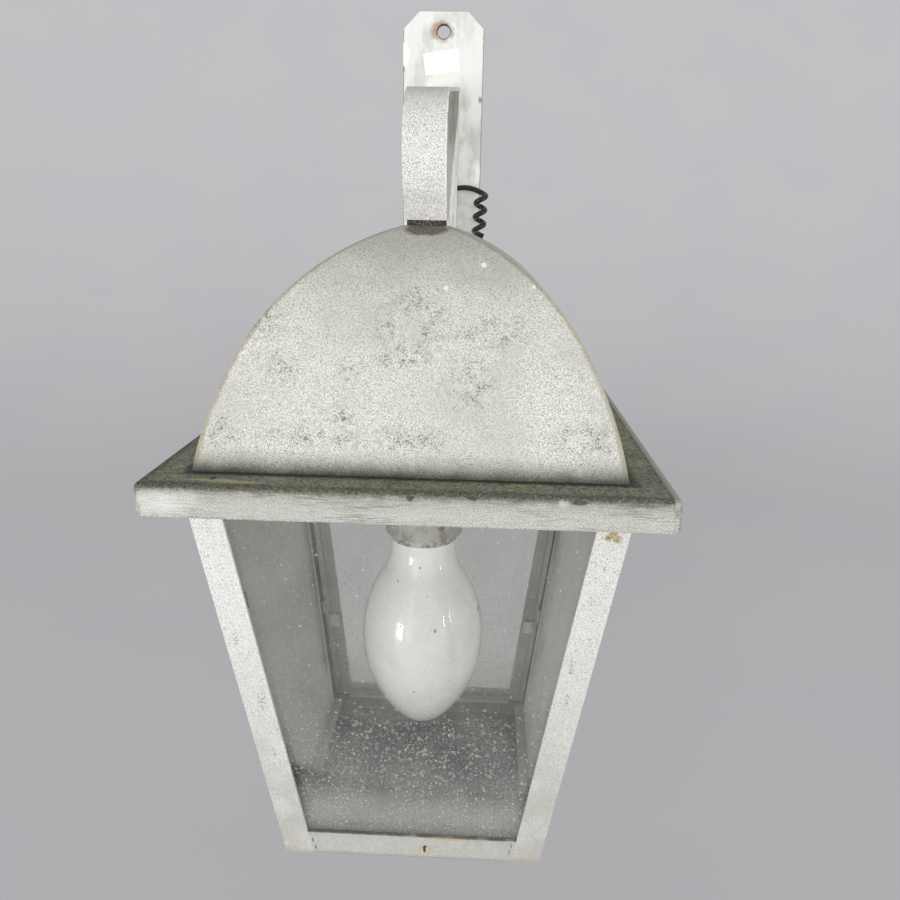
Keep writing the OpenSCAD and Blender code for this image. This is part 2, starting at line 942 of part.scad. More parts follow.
// Half of the lamp's section, inset from the outside
module lamp_half(inset) {
    belly_x = lamp_r - belly_r;
    blend_rise = flare_rise * (upper_r - inset) / (upper_r + flare_r);
    tip_z = -(lamp_low + side_drop);
    meet_z = tip_z - side_drop * tip_r / (belly_r - tip_r);
    intersection() {
        translate([belly_x, -lamp_low]) circle(r = belly_r - inset);
        translate([0, meet_z]) square([lamp_d, -lamp_low - meet_z + eps]);
    }
    intersection() {
        translate([0, tip_z]) circle(r = tip_r - inset);
        translate([0, tip_z - tip_r]) square([lamp_d, 2 * tip_r]);
    }
    intersection() {
        translate([upper_x, -lamp_low]) circle(r = upper_r - inset);
        translate([0, -lamp_low]) square([lamp_d, blend_rise + eps]);
    }
    difference() {
        translate([0, blend_rise - lamp_low]) square([flare_x, flare_rise - blend_rise]);
        translate([flare_x, neck_z]) circle(r = flare_r + inset);
    }
    translate([0, neck_z - eps]) square([neck_r - inset, lamp_cap_low - neck_z + eps - inset]);
}

module lamp_glass() {
    color("#e9e9e4")
    on_axis() rotate_extrude($fn = 96) difference() {
        lamp_half(0);
        lamp_half(lamp_wall);
    }
}

module lamp_cap() {
    color("#a7a49a")
    on_axis() difference() {
        translate([0, 0, lamp_cap_low]) cylinder(d = lamp_cap_d, h = lamp_cap_high - lamp_cap_low);
        translate([0, 0, lamp_cap_low - eps])
            cylinder(d = lamp_cap_d - 2 * lamp_wall, h = lamp_cap_high - lamp_cap_low + eps - lamp_wall);
    }
}

module lamp_tip() {
    color("#4a4a48")
    on_axis() {
        translate([0, 0, lamp_cap_high]) cylinder(d = lamp_seal_d, h = 1.5);
        translate([0, 0, lamp_cap_high]) cylinder(d = lamp_tip_d, h = lamp_tip_z - lamp_cap_high);
    }
}

// Lead

module lead_cores() {
    terminal_high = insert_low + insert_t + terminal_w;
    color("#6b4a2f")
    on_axis() for (side = [-1, 1])
        swept(
            [
                [side * core_side, 0, sheath_end],
                [side * core_side, 0, 2],
                [side * 2, 0, 0.2],
                [side * 4, 0, -0.6],
                [side * 7, 0, -1],
                [side * terminal_x, 0, terminal_high]
            ],
            [0, 1, 0], core_d / 2, 6
        );
}

module lead_inner() {
    color("#1d1f1f") on_axis() swept(smooth(inner_route, 2), [1, 0, 0], lead_d / 2, 8);
}

module lead_tail() {
    color("#1d1f1f") on_axis() swept(smooth(tail_route, 2), [0, 1, 0], lead_d / 2, 8);
}

// The curls start at the back, run to the right and sink to the front and to the left
ring_step = 45;
curl_rings = curl_turns * 360 / ring_step;
function curl_point(i) = let (turn = ring_step * i, level = turn / 360) [
    curl_x + curl_drift * level + curl_r * sin(turn),
    curl_y + curl_r * cos(turn),
    curl_z - curl_pitch * level
];
curl_way = unit([cos(lead_end_slope), 0, -sin(lead_end_slope)]);
curl_path = concat(
    [tail_end],
    [for (i = [0:curl_rings]) curl_point(i)],
    [curl_point(curl_rings) + lead_d * curl_way]
);
curl_gap = min([
    for (i = [0:len(curl_path) - 5], j = [i + 4:len(curl_path) - 1])
        norm(curl_path[i] - curl_path[j]) - lead_d
]);
echo(least_gap_between_curls = curl_gap);

module lead_curl() {
    color("#1d1f1f") on_axis() swept(curl_path, [0, 1, 0], lead_d / 2, 6);
}

wall_plate();
blank_label();
spine_channel();
arm_outer_strap();
arm_inner_strap();
arm_cheek_left();
arm_cheek_right();
neck_pipe();
neck_gasket();
neck_washer();
neck_nut();
dome_front();
dome_rear();
dome_left();
dome_right();
brim();
post_front_left();
post_front_right();
post_rear_left();
post_rear_right();
rail_front();
rail_rear();
rail_left();
rail_right();
bar_front();
bar_rear();
bar_left();
bar_right();
pane_front();
pane_rear();
pane_left();
pane_right();
pane_clips();
bottom_tray();
tray_hinge_leaves();
tray_hinge_pin();
tray_screw();
tray_nut();
holder_strap();
strap_screws();
strap_nuts();
holder_pipe();
holder_nuts();
holder_cap();
holder_body();
holder_shell();
holder_insert();
holder_spring();
holder_terminals();
lamp_glass();
lamp_cap();
lamp_tip();
lead_cores();
lead_inner();
lead_tail();
lead_curl();
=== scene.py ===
import math
import random

import bpy
from mathutils import Matrix, Vector
from mathutils.bvhtree import BVHTree


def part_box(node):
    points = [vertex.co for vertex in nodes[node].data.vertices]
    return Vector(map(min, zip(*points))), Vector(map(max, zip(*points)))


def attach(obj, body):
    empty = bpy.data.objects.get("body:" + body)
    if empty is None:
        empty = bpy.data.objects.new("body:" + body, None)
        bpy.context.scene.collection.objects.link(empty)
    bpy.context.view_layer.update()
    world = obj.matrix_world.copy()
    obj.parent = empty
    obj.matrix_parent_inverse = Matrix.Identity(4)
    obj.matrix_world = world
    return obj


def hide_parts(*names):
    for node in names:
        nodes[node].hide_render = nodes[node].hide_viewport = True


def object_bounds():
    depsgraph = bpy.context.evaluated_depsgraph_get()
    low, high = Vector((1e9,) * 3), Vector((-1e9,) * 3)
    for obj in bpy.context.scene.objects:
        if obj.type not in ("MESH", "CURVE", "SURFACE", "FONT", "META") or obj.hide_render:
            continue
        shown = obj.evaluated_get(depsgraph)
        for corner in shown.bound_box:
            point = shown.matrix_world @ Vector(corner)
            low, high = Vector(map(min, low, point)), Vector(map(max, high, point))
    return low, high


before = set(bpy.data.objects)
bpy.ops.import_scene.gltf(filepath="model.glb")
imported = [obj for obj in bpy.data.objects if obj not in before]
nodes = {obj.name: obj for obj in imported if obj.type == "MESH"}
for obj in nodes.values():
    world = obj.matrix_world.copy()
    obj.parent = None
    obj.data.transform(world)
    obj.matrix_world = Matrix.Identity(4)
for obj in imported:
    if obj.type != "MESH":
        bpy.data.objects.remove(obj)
cad_low, cad_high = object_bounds()
scene = bpy.context.scene
MM = 0.001

# Places in the part's frame, in metres, taken from the solids
brim_low, brim_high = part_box("brim")
bar_low, bar_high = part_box("bar_front")
AXIS_Y = (brim_low.y + brim_high.y) / 2
BRIM_Z = brim_low.z
BRIM_TOP = brim_high.z
BRIM_HALF = brim_high.x
DOME_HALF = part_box("dome_front")[1].x
DOME_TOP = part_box("dome_front")[1].z
BODY_LOW = bar_low.z
BAR_TOP = bar_high.z
plate_low, plate_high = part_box("wall_plate")
PLATE_HALF = plate_high.x
# The plate's upper hole: how far its middle lies below the plate's end, and its radius
HOLE_EDGE = 0.011
HOLE_R = 0.004


def at_axis(x, y, z):
    """A place given in millimetres from the body's axis and the brim's underside."""
    return Vector((x * MM, AXIS_Y + y * MM, BRIM_Z + z * MM))


# Camera: the photograph's, worked out from the body's corners
IMAGE_W = 900
FOCAL_PX = 779.3
SENSOR_MM = 36.0
CAMERA_PLACE = at_axis(30.2, -407.3, 120.2)
CAMERA_PITCH = math.radians(-16.46)
CAMERA_YAW = math.radians(2.31)
CAMERA_ROLL = math.radians(1.07)
CAMERA_TURN = (
    Matrix.Rotation(CAMERA_YAW, 4, "Z")
    @ Matrix.Rotation(math.pi / 2 + CAMERA_PITCH, 4, "X")
    @ Matrix.Rotation(CAMERA_ROLL, 4, "Z")
)


def make_camera():
    data = bpy.data.cameras.new("photo_camera")
    data.sensor_width = SENSOR_MM
    data.lens = FOCAL_PX / IMAGE_W * SENSOR_MM
    data.clip_start = 0.01
    data.clip_end = 50
    camera = bpy.data.objects.new("photo_camera", data)
    scene.collection.objects.link(camera)
    camera.matrix_world = Matrix.Translation(CAMERA_PLACE) @ CAMERA_TURN
    scene.camera = camera


make_camera()

# Lead: the tail's route is the one in the CAD, and the curls come from the same sizes
LEAD_D = 3.4
CURL_X, CURL_Y, CURL_Z = 26, 118, 137.2
CURL_R = 3
CURL_PITCH = 8.6
CURL_TURNS = 3
CURL_DRIFT = -0.35
CURL_STEP = 15
TAIL_STEPS = 6
END_SLOPE = math.atan(CURL_PITCH / (2 * math.pi * CURL_R))
TAIL_END = (
    CURL_X - LEAD_D * math.cos(END_SLOPE),
    CURL_Y + CURL_R,
    CURL_Z + LEAD_D * math.sin(END_SLOPE),
)
TAIL_ROUTE = [
    (10.5, 119.5, 139.6),
    (14, 119.7, 140),
    (18, 120.4, 139.9),
    (20.8, 120.9, 139.3),
    TAIL_END,
]


def spline(a, b, c, d, t):
    return [
        0.5 * (2 * q + (r - p) * t + (2 * p - 5 * q + 4 * r - s) * t * t + (3 * q - p - 3 * r + s) * t ** 3)
        for p, q, r, s in zip(a, b, c, d)
    ]


def smooth(route, steps):
    last = len(route) - 1
    points = []
    for i in range(last):
        before = route[max(i - 1, 0)]
        after = route[min(i + 2, last)]
        for k in range(steps):
            points.append(spline(before, route[i], route[i + 1], after, k / steps))
    points.append(list(route[last]))
    return points


def curl_point(turn):
    angle = math.radians(turn)
    level = turn / 360
    return [
        CURL_X + CURL_DRIFT * level + CURL_R * math.sin(angle),
        CURL_Y + CURL_R * math.cos(angle),
        CURL_Z - CURL_PITCH * level,
    ]


def lead_points():
    points = smooth(TAIL_ROUTE, TAIL_STEPS)
    points += [curl_point(turn) for turn in range(0, 360 * CURL_TURNS + 1, CURL_STEP)]
    x, y, z = points[-1]
    points.append([x + LEAD_D * math.cos(END_SLOPE), y, z - LEAD_D * math.sin(END_SLOPE)])
    return [at_axis(*p) for p in points]


def make_lead():
    points = lead_points()
    data = bpy.data.curves.new("lead", "CURVE")
    data.dimensions = "3D"
    data.bevel_depth = 1.0
    data.bevel_resolution = 5
    data.use_fill_caps = True
    line = data.splines.new("POLY")
    line.points.add(len(points) - 1)
    for point, place in zip(line.points, points):
        point.co = (*place, 1)
        point.radius = LEAD_D / 2 * MM
    line.use_smooth = True
    piece = bpy.data.objects.new("lead", data)
    scene.collection.objects.link(piece)
    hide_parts("lead_tail", "lead_curl")
    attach(piece, "lantern")
    return piece


lead = make_lead()

# Marks in the photograph: each one's pixel, and its half width and half height in millimetres
DOME_BLOTS = {
    "foot left": ((301, 435), (13, 4)),
    "foot middle": ((343, 441), (8, 3)),
    "lower left": ((343, 415), (6, 5)),
    "far left": ((225, 430), (8, 6)),
    "left": ((283, 365), (6, 6)),
    "middle left": ((353, 373), (5, 5)),
    "upper left edge": ((264, 315), (7, 9)),
    "upper middle": ((411, 301), (6, 5)),
    "upper right": ((433, 325), (6, 10)),
    "upper arc": ((385, 328), (4, 8)),
    "middle": ((406, 357), (12, 5)),
    "right of middle": ((469, 388), (10, 10)),
    "right": ((496, 333), (13, 6)),
    "low middle": ((411, 441), (14, 5)),
    "far right": ((590, 440), (12, 6)),
}
DOME_DRIPS = {
    "crown": ((484, 265), (1.3, 1.1)),
    "middle": ((446, 288), (1.0, 1.0)),
    "right": ((534, 287), (0.8, 0.7)),
}
CROWN_STAIN = {"under the arm": ((426, 229), (10.5, 3.2))}
BRIM_BLOTCHES = {
    "left": ((410, 498), (1.6, 1.2)),
    "right": ((472, 497), (2.2, 1.4)),
    "far right": ((580, 503), (3.4, 1.0)),
}
BRIM_CHALK = {
    "smear": ((563, 501), (2.6, 2.2)),
    "left end": ((162, 502), (11, 4)),
}
LEDGE_RUST = {"left": ((213, 478), (1.5, 1.5))}
LEDGE_TAN = {"left": ((214, 480), (11, 1.1)), "its thin end": ((236, 482), (10, 0.6))}
LICHEN = {
    "upper": ((613, 535), (2.0, 1.8)),
    "lower": ((617, 539), (1.8, 1.8)),
    "left": ((608, 538), (1.4, 1.4)),
}
LEFT_POST_CHIPS = {
    "upper": ((236, 640), (1.2, 2.6)),
    "middle": ((262, 700), (2.0, 5)),
    "lower": ((273, 752), (1.4, 3)),
}
RIGHT_POST_CHIPS = {
    "upper": ((592, 602), (1.4, 2)),
    "middle": ((572, 668), (1.6, 5)),
    "lower": ((567, 700), (1.2, 3)),
}
BAR_STAIN = {"middle": ((447, 837), (8, 1.8))}
BAR_SEAMS = {
    "left crack, upper": ((313, 840), (0.45, 1.4)),
    "left crack, lower": ((316, 847), (0.4, 1.6)),
    "right, upper": ((511, 846), (0.3, 1.6)),
    "right, lower": ((509, 852), (0.3, 1.6)),
}
SCREW_HALO = {"low right": ((428, 849), (3.4, 2.6))}
SCREW_SLOT = {"slot": ((424.5, 848.4), (0.8, 2.2))}
PLATE_RUST = {
    "left of the hole": ((434, 32), (2.6, 3.4)),
    "above the hole": ((438, 25), (3.4, 1.6)),
}
PLATE_WORN = {"left edge": ((403, 53), (3.6, 7))}
PLATE_CHIPS = {
    "left notch": ((401, 67), (0.9, 1.6)),
    "right notch": ((480, 100), (0.9, 1.8)),
}
LAMP_SPECKS = {
    "middle": ((435, 631), (0.7, 1.1)),
    "upper": ((420, 568), (0.5, 0.7)),
    "left": ((398, 581), (0.5, 0.6)),
    "right": ((478, 608), (0.5, 0.9)),
    "low": ((414, 692), (0.6, 0.6)),
}
HOLDER_RUST = {"right": ((442, 529), (1.6, 1.2))}
# How far a mark reaches in depth, each way, in millimetres
MARK_DEPTH = 16


def surface_tree(name):
    mesh = nodes[name].data
    return BVHTree.FromPolygons([v.co for v in mesh.vertices], [list(p.vertices) for p in mesh.polygons])


def seen_at(pixel, name, tree):
    """The place on a node that the photograph shows at a pixel, or the nearest one to it."""
    half = IMAGE_W / 2
    way = CAMERA_TURN.to_3x3() @ Vector(((pixel[0] - half) / FOCAL_PX, (half - pixel[1]) / FOCAL_PX, -1))
    way.normalize()
    hit = tree.ray_cast(CAMERA_PLACE, way)[0]
    low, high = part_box(name)
    beside = CAMERA_PLACE + way * ((low + high) / 2 - CAMERA_PLACE).length
    return hit or tree.find_nearest(beside)[0]


# Materials: noise sizes are in millimetres. The pairs of numbers that fade() is given say, in metres
# from a place such as the brim's top, where it begins and where it is full

# How strong the faintest of the scattered specks is beside the strongest
FAINTEST = 0.25
LEAST_SHARE = 0.001


def linear(red, green, blue):
    """A colour read as 0 to 255 on screen, as the linear values that shaders use."""
    return tuple(
        c / 12.92 if c <= 0.04045 else ((c + 0.055) / 1.055) ** 2.4
        for c in (red / 255, green / 255, blue / 255)
    ) + (1.0,)


class Graph:
    """Builds one material's nodes. Every value that is passed is a number, a colour or a socket."""

    def __init__(self, name):
        self.material = bpy.data.materials.new(name)
        self.material.use_nodes = True
        self.tree = self.material.node_tree
        self.tree.nodes.clear()
        self.out = self.tree.nodes.new("ShaderNodeOutputMaterial")
        self.place = self.tree.nodes.new("ShaderNodeTexCoord").outputs["Object"]

    def feed(self, socket, value):
        if isinstance(value, bpy.types.NodeSocket):
            self.tree.links.new(value, socket)
        else:
            socket.default_value = value

    def node(self, kind, **settings):
        made = self.tree.nodes.new(kind)
        for key, value in settings.items():
            setattr(made, key, value)
        return made

    def math(self, operation, a, b=0.0):
        node = self.node("ShaderNodeMath", operation=operation)
        self.feed(node.inputs[0], a)
        self.feed(node.inputs[1], b)
        return node.outputs[0]

    def times(self, *factors):
        total = factors[0]
        for factor in factors[1:]:
            total = self.math("MULTIPLY", total, factor)
        return total

    def most(self, *masks):
        total = masks[0]
        for mask in masks[1:]:
            total = self.math("MAXIMUM", total, mask)
        return total

    def step(self, value, low, high, to_low=0.0, to_high=1.0):
        """0 below low and 1 above high, or the other way round if low is the larger."""
        node = self.node("ShaderNodeMapRange", interpolation_type="SMOOTHSTEP")
        if low > high:
            low, high, to_low, to_high = high, low, to_high, to_low
        self.feed(node.inputs["Value"], value)
        for key, number in (("From Min", low), ("From Max", high), ("To Min", to_low), ("To Max", to_high)):
            node.inputs[key].default_value = number
        return node.outputs["Result"]

    def stretch(self, scale):
        node = self.node("ShaderNodeMapping")
        self.feed(node.inputs["Vector"], self.place)
        node.inputs["Scale"].default_value = scale
        return node.outputs["Vector"]

    def noise(self, size_mm, detail=2.0, rough=0.5, vector=None):
        """Noise whose features are about size_mm across."""
        node = self.node("ShaderNodeTexNoise")
        self.feed(node.inputs["Vector"], vector or self.place)
        node.inputs["Scale"].default_value = 1 / (size_mm * MM)
        node.inputs["Detail"].default_value = detail
        node.inputs["Roughness"].default_value = rough
        return node.outputs["Fac"]

    def patches(self, size_mm, low, high, detail=2.0, rough=0.5, vector=None):
        """Noise as a mask: 0 where it is below low and 1 where it is above high."""
        return self.step(self.noise(size_mm, detail, rough, vector), low, high)

    def ragged(self, size_mm, amount, detail=4.0):
        """Noise about 0, to make an edge uneven."""
        return self.times(self.math("SUBTRACT", self.noise(size_mm, detail, 0.65), 0.5), amount)

    def fade(self, value, place, ends, size_mm=0, amount=0):
        """A step between two distances from a place, made uneven by ragged noise if a size is given."""
        if size_mm:
            value = self.math("ADD", value, self.ragged(size_mm, amount))
        return self.step(value, place + ends[0], place + ends[1])

    def cells(self, size_mm):
        """The distance to the nearest of many scattered points, and a random number for each point."""
        node = self.node("ShaderNodeTexVoronoi")
        self.feed(node.inputs["Vector"], self.place)
        node.inputs["Scale"].default_value = 1 / (size_mm * MM)
        split = self.node("ShaderNodeSeparateColor")
        self.feed(split.inputs[0], node.outputs["Color"])
        return node.outputs["Distance"], split.outputs[0]

    def dots(self, size_mm, radius, share):
        """Round specks of a radius given in cells, on a share of the cells that may be a socket."""
        near, chance = self.cells(size_mm)
        return self.times(self.step(near, radius, radius * 0.6), self.chosen(chance, share))

    def chosen(self, chance, share):
        """0 for the cells above a share, and from FAINTEST to 1 for those below it."""
        rank = self.math("DIVIDE", chance, self.math("MAXIMUM", share, LEAST_SHARE))
        strength = self.step(rank, 0, 1, FAINTEST, 1)
        return self.times(self.math("LESS_THAN", chance, share), strength)

    def rings(self, size_mm, radius, share):
        """Round specks with a fainter middle."""
        near, chance = self.cells(size_mm)
        ring = self.times(self.step(near, radius, radius * 0.7), self.step(near, 0, radius * 0.7, 0.3, 1.0))
        return self.times(ring, self.chosen(chance, share))

    def mix(self, factor, a, b):
        node = self.node("ShaderNodeMix", data_type="RGBA")
        self.feed(node.inputs[0], factor)
        self.feed(node.inputs[6], a)
        self.feed(node.inputs[7], b)
        return node.outputs[2]

    def tint(self, colour, other, *factors):
        return self.mix(self.times(*factors), colour, other)

    def axis(self, letter):
        node = self.node("ShaderNodeSeparateXYZ")
        self.feed(node.inputs[0], self.place)
        return node.outputs["XYZ".index(letter)]

    def side(self):
        """The distance to the left or right of the body's axis."""
        return self.math("ABSOLUTE", self.axis("X"))

    def depth(self):
        """The distance in front of or behind the body's axis."""
        return self.math("ABSOLUTE", self.math("SUBTRACT", self.axis("Y"), AXIS_Y))

    def normal(self, letter):
        geometry = self.node("ShaderNodeNewGeometry")
        node = self.node("ShaderNodeSeparateXYZ")
        self.feed(node.inputs[0], geometry.outputs["Normal"])
        return node.outputs["XYZ".index(letter)]

    def spot(self, centre, radii_mm, ragged=0.0, soft=0.35):
        """1 inside a round patch about a place and 0 outside; ragged shifts its edge."""
        shift = self.node("ShaderNodeVectorMath", operation="SUBTRACT")
        self.feed(shift.inputs[0], self.place)
        shift.inputs[1].default_value = centre
        scale = self.node("ShaderNodeVectorMath", operation="MULTIPLY")
        self.feed(scale.inputs[0], shift.outputs[0])
        scale.inputs[1].default_value = [1 / (r * MM) for r in radii_mm]
        far = self.node("ShaderNodeVectorMath", operation="LENGTH")
        self.feed(far.inputs[0], scale.outputs[0])
        return self.step(self.math("ADD", far.outputs["Value"], ragged), 1 + soft, 1 - soft)

    def marks(self, table, name, ragged=0.0, soft=0.35, depth_mm=MARK_DEPTH):
        """All marks of a table, as one mask on a CAD node."""
        tree = surface_tree(name)
        return self.most(*(
            self.spot(seen_at(pixel, name, tree), (wide, depth_mm, high), ragged, soft)
            for pixel, (wide, high) in table.values()
        ))

    def bump(self, height, depth_mm, strength=1.0):
        node = self.node("ShaderNodeBump")
        node.inputs["Distance"].default_value = depth_mm * MM
        node.inputs["Strength"].default_value = strength
        self.feed(node.inputs["Height"], height)
        return node.outputs["Normal"]

    def surface(self, colour, rough, metal=0.0, normal=None, specular=0.5, coat=0.0, coat_rough=0.1):
        node = self.node("ShaderNodeBsdfPrincipled")
        self.feed(node.inputs["Base Color"], colour)
        self.feed(node.inputs["Roughness"], rough)
        self.feed(node.inputs["Metallic"], metal)
        self.feed(node.inputs["Specular IOR Level"], specular)
        self.feed(node.inputs["Coat Weight"], coat)
        self.feed(node.inputs["Coat Roughness"], coat_rough)
        if normal:
            self.feed(node.inputs["Normal"], normal)
        return node.outputs[0]

    def blend(self, factor, a, b):
        node = self.node("ShaderNodeMixShader")
        self.feed(node.inputs[0], factor)
        self.feed(node.inputs[1], a)
        self.feed(node.inputs[2], b)
        return node.outputs[0]

    def finish(self, shader):
        self.tree.links.new(shader, self.out.inputs["Surface"])
        return self.material


PIT = linear(84, 84, 73)
CLOUD = linear(190, 190, 179)
OLIVE = linear(122, 122, 104)
DIRT = linear(76, 76, 64)
SOOT = linear(40, 41, 35)
TAN = linear(176, 160, 126)
RUST = linear(140, 92, 52)
DARK_RUST = linear(62, 44, 34)
CHALK = linear(250, 250, 246)


def pitted_paint(graph, pale, pit, size_mm=0.28, low=0.36, high=0.53, depth_mm=0.08):
    """Off-white paint with fine dark pits. Returns its colour and its bump."""
    value = graph.noise(size_mm, 1, 0.6)
    return graph.mix(graph.step(value, low, high), pit, pale), graph.bump(value, depth_mm, 0.5)


def clouded(graph, colour, shade, size_mm, amount, low=0.42, high=0.66):
    """A colour with soft, cloudy patches of another."""
    return graph.tint(colour, shade, graph.patches(size_mm, low, high, 4, 0.6), amount)


# Wall plate: lighter paint further down, as painted light where the arm and the dome shade it
PLATE_PALE = linear(244, 244, 240)
PLATE_PIT = linear(224, 224, 218)
PLATE_PAINTED_LIGHT = linear(255, 255, 252)
PLATE_SMUDGE = linear(188, 188, 180)
PLATE_STREAK = linear(212, 212, 205)
PLATE_RIM = linear(118, 110, 90)
PLATE_PAINTED_LIGHT_FADE = (-0.034, -0.060)
PLATE_RIM_FADE = (-0.0008, -0.0001)
# How far the stain and the burnt rust reach past the hole's edge, in millimetres
HOLE_STAIN = 1.4
HOLE_BURN = 0.4


def plate_material():
    graph = Graph("plate_paint_aged_painted_light")
    colour, bump = pitted_paint(graph, PLATE_PALE, PLATE_PIT, 0.5)
    # Painted light: lighter further down, where the arm and the dome shade the plate
    painted_light_low = graph.fade(graph.axis("Z"), plate_high.z, PLATE_PAINTED_LIGHT_FADE)
    colour = graph.tint(colour, PLATE_PAINTED_LIGHT, painted_light_low, 0.9)
    smudges = graph.patches(16, 0.48, 0.66, 5, 0.62, graph.stretch((1, 1, 0.5)))
    colour = graph.tint(colour, PLATE_SMUDGE, smudges, 0.6)
    streaks = graph.patches(1.6, 0.5, 0.7, 3, 0.6, graph.stretch((1, 1, 0.07)))
    colour = graph.tint(colour, PLATE_STREAK, streaks, 0.16)
    rim = graph.fade(graph.side(), PLATE_HALF, PLATE_RIM_FADE, 5, 0.9 * MM)
    colour = graph.tint(colour, PLATE_RIM, rim, 0.85)
    ragged = graph.ragged(2.4, 1.1)
    colour = graph.tint(colour, TAN, graph.marks(PLATE_RUST, "wall_plate", ragged, 0.7), 0.8)
    hole = Vector((0, plate_low.y, plate_high.z - HOLE_EDGE))
    stained = HOLE_R / MM + HOLE_STAIN
    colour = graph.tint(colour, RUST, graph.spot(hole, (stained, 9, stained), ragged, 0.3), 0.7)
    burnt = HOLE_R / MM + HOLE_BURN
    ring = graph.spot(hole, (burnt, 9, burnt), graph.ragged(1.2, 0.2), 0.06)
    colour = graph.tint(colour, DARK_RUST, ring, 0.9)
    colour = graph.tint(colour, CHALK, graph.marks(PLATE_WORN, "wall_plate", ragged, 0.2))
    chips = graph.marks(PLATE_CHIPS, "wall_plate", graph.ragged(1.2, 0.8), 0.5)
    colour = graph.tint(colour, DARK_RUST, chips, 0.7)
    return graph.finish(graph.surface(colour, 0.5, normal=bump))


SPINE_PALE = linear(238, 237, 232)
SPINE_PIT = linear(196, 195, 187)
SPINE_LINE = linear(128, 127, 114)


def spine_material():
    graph = Graph("spine_paint_aged")
    colour, bump = pitted_paint(graph, SPINE_PALE, SPINE_PIT, 0.5)
    lines = graph.patches(1.3, 0.48, 0.64, 4, 0.65, graph.stretch((1, 1, 0.08)))
    colour = graph.tint(colour, SPINE_LINE, lines, 0.6)
    return graph.finish(graph.surface(colour, 0.55, normal=bump))


# Arm: greyer on top and at its foot as painted shade, and paler along its right rim
ARM_PALE = linear(253, 252, 249)
ARM_PIT = linear(92, 90, 83)
ARM_TOP_PAINTED_SHADE = linear(178, 178, 164)
ARM_FOOT_PAINTED_SHADE = linear(176, 174, 163)
ARM_TOP = (0.165, 0.186)
ARM_FOOT = (0.128, 0.118)
ARM_RIM = (-0.0009, -0.0004)


def arm_material():
    graph = Graph("arm_paint_aged_painted_shade")
    colour, bump = pitted_paint(graph, ARM_PALE, ARM_PIT)
    # Painted shade: greyer on top, where the strap faces up
    high = graph.fade(graph.axis("Z"), BRIM_Z, ARM_TOP)
    colour = graph.tint(colour, ARM_TOP_PAINTED_SHADE, high, 0.4)
    rim = graph.fade(graph.axis("X"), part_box("arm_outer_strap")[1].x, ARM_RIM)
    colour = graph.tint(colour, CHALK, rim, graph.patches(5, 0.4, 0.55, 3), 0.7)
    # Painted shade: greyer at the foot, where the strap turns down
    low = graph.fade(graph.axis("Z"), BRIM_Z, ARM_FOOT, 4, 6 * MM)
    colour = graph.tint(colour, ARM_FOOT_PAINTED_SHADE, low, 0.5)
    return graph.finish(graph.surface(colour, 0.6, normal=bump))


# Arm's cheeks: dark in their upper part as painted shade, with painted light lower down and painted
# highlights in vertical lines
CHEEK_PALE = linear(178, 177, 162)
CHEEK_PIT = linear(96, 95, 82)
CHEEK_DARK = linear(104, 105, 90)
CHEEK_PAINTED_LIGHT = linear(224, 223, 214)
CHEEK_PAINTED_LIGHT_FADE = (0.168, 0.146)


def cheek_material():
    graph = Graph("arm_cheek_paint_aged_painted_light")
    colour, bump = pitted_paint(graph, CHEEK_PALE, CHEEK_PIT, 0.5)
    patches = graph.patches(6, 0.42, 0.66, 4, 0.6, graph.stretch((1, 0.4, 1)))
    colour = graph.tint(colour, CHEEK_DARK, patches, 0.75)
    # Painted light: lighter lower down, so that the upper part stays as painted shade
    low = graph.fade(graph.axis("Z"), BRIM_Z, CHEEK_PAINTED_LIGHT_FADE, 9, 14 * MM)
    colour = graph.tint(colour, CHEEK_PAINTED_LIGHT, low, 0.7)
    # Painted highlights: lighter vertical lines
    lines = graph.patches(8, 0.46, 0.66, 4, 0.6, graph.stretch((1, 1, 0.4)))
    colour = graph.tint(colour, CHEEK_PAINTED_LIGHT, lines, 0.5)
    colour = graph.tint(colour, CHALK, graph.dots(7, 0.3, 0.3))
    return graph.finish(graph.surface(colour, 0.62, normal=bump))


# Dome: worn hips, an olive crown with painted shade, clumps of dark specks, and grime with painted shade at
# its foot
DOME_PALE = linear(246, 246, 238)
HIP_TAN = linear(150, 138, 104)
GRIT_DARK = linear(50, 46, 42)
GRIT_PALE = linear(124, 119, 110)
HIP_FADE = (0.003, 0.0006)
CROWN_DIRT_AND_SHADE_FADE = (-0.034, 0.002)
FOOT_GRIME_AND_SHADE_OLIVE = (0.012, 0.001)
FOOT_GRIME_AND_SHADE_SOOT = (0.0055, -0.002)


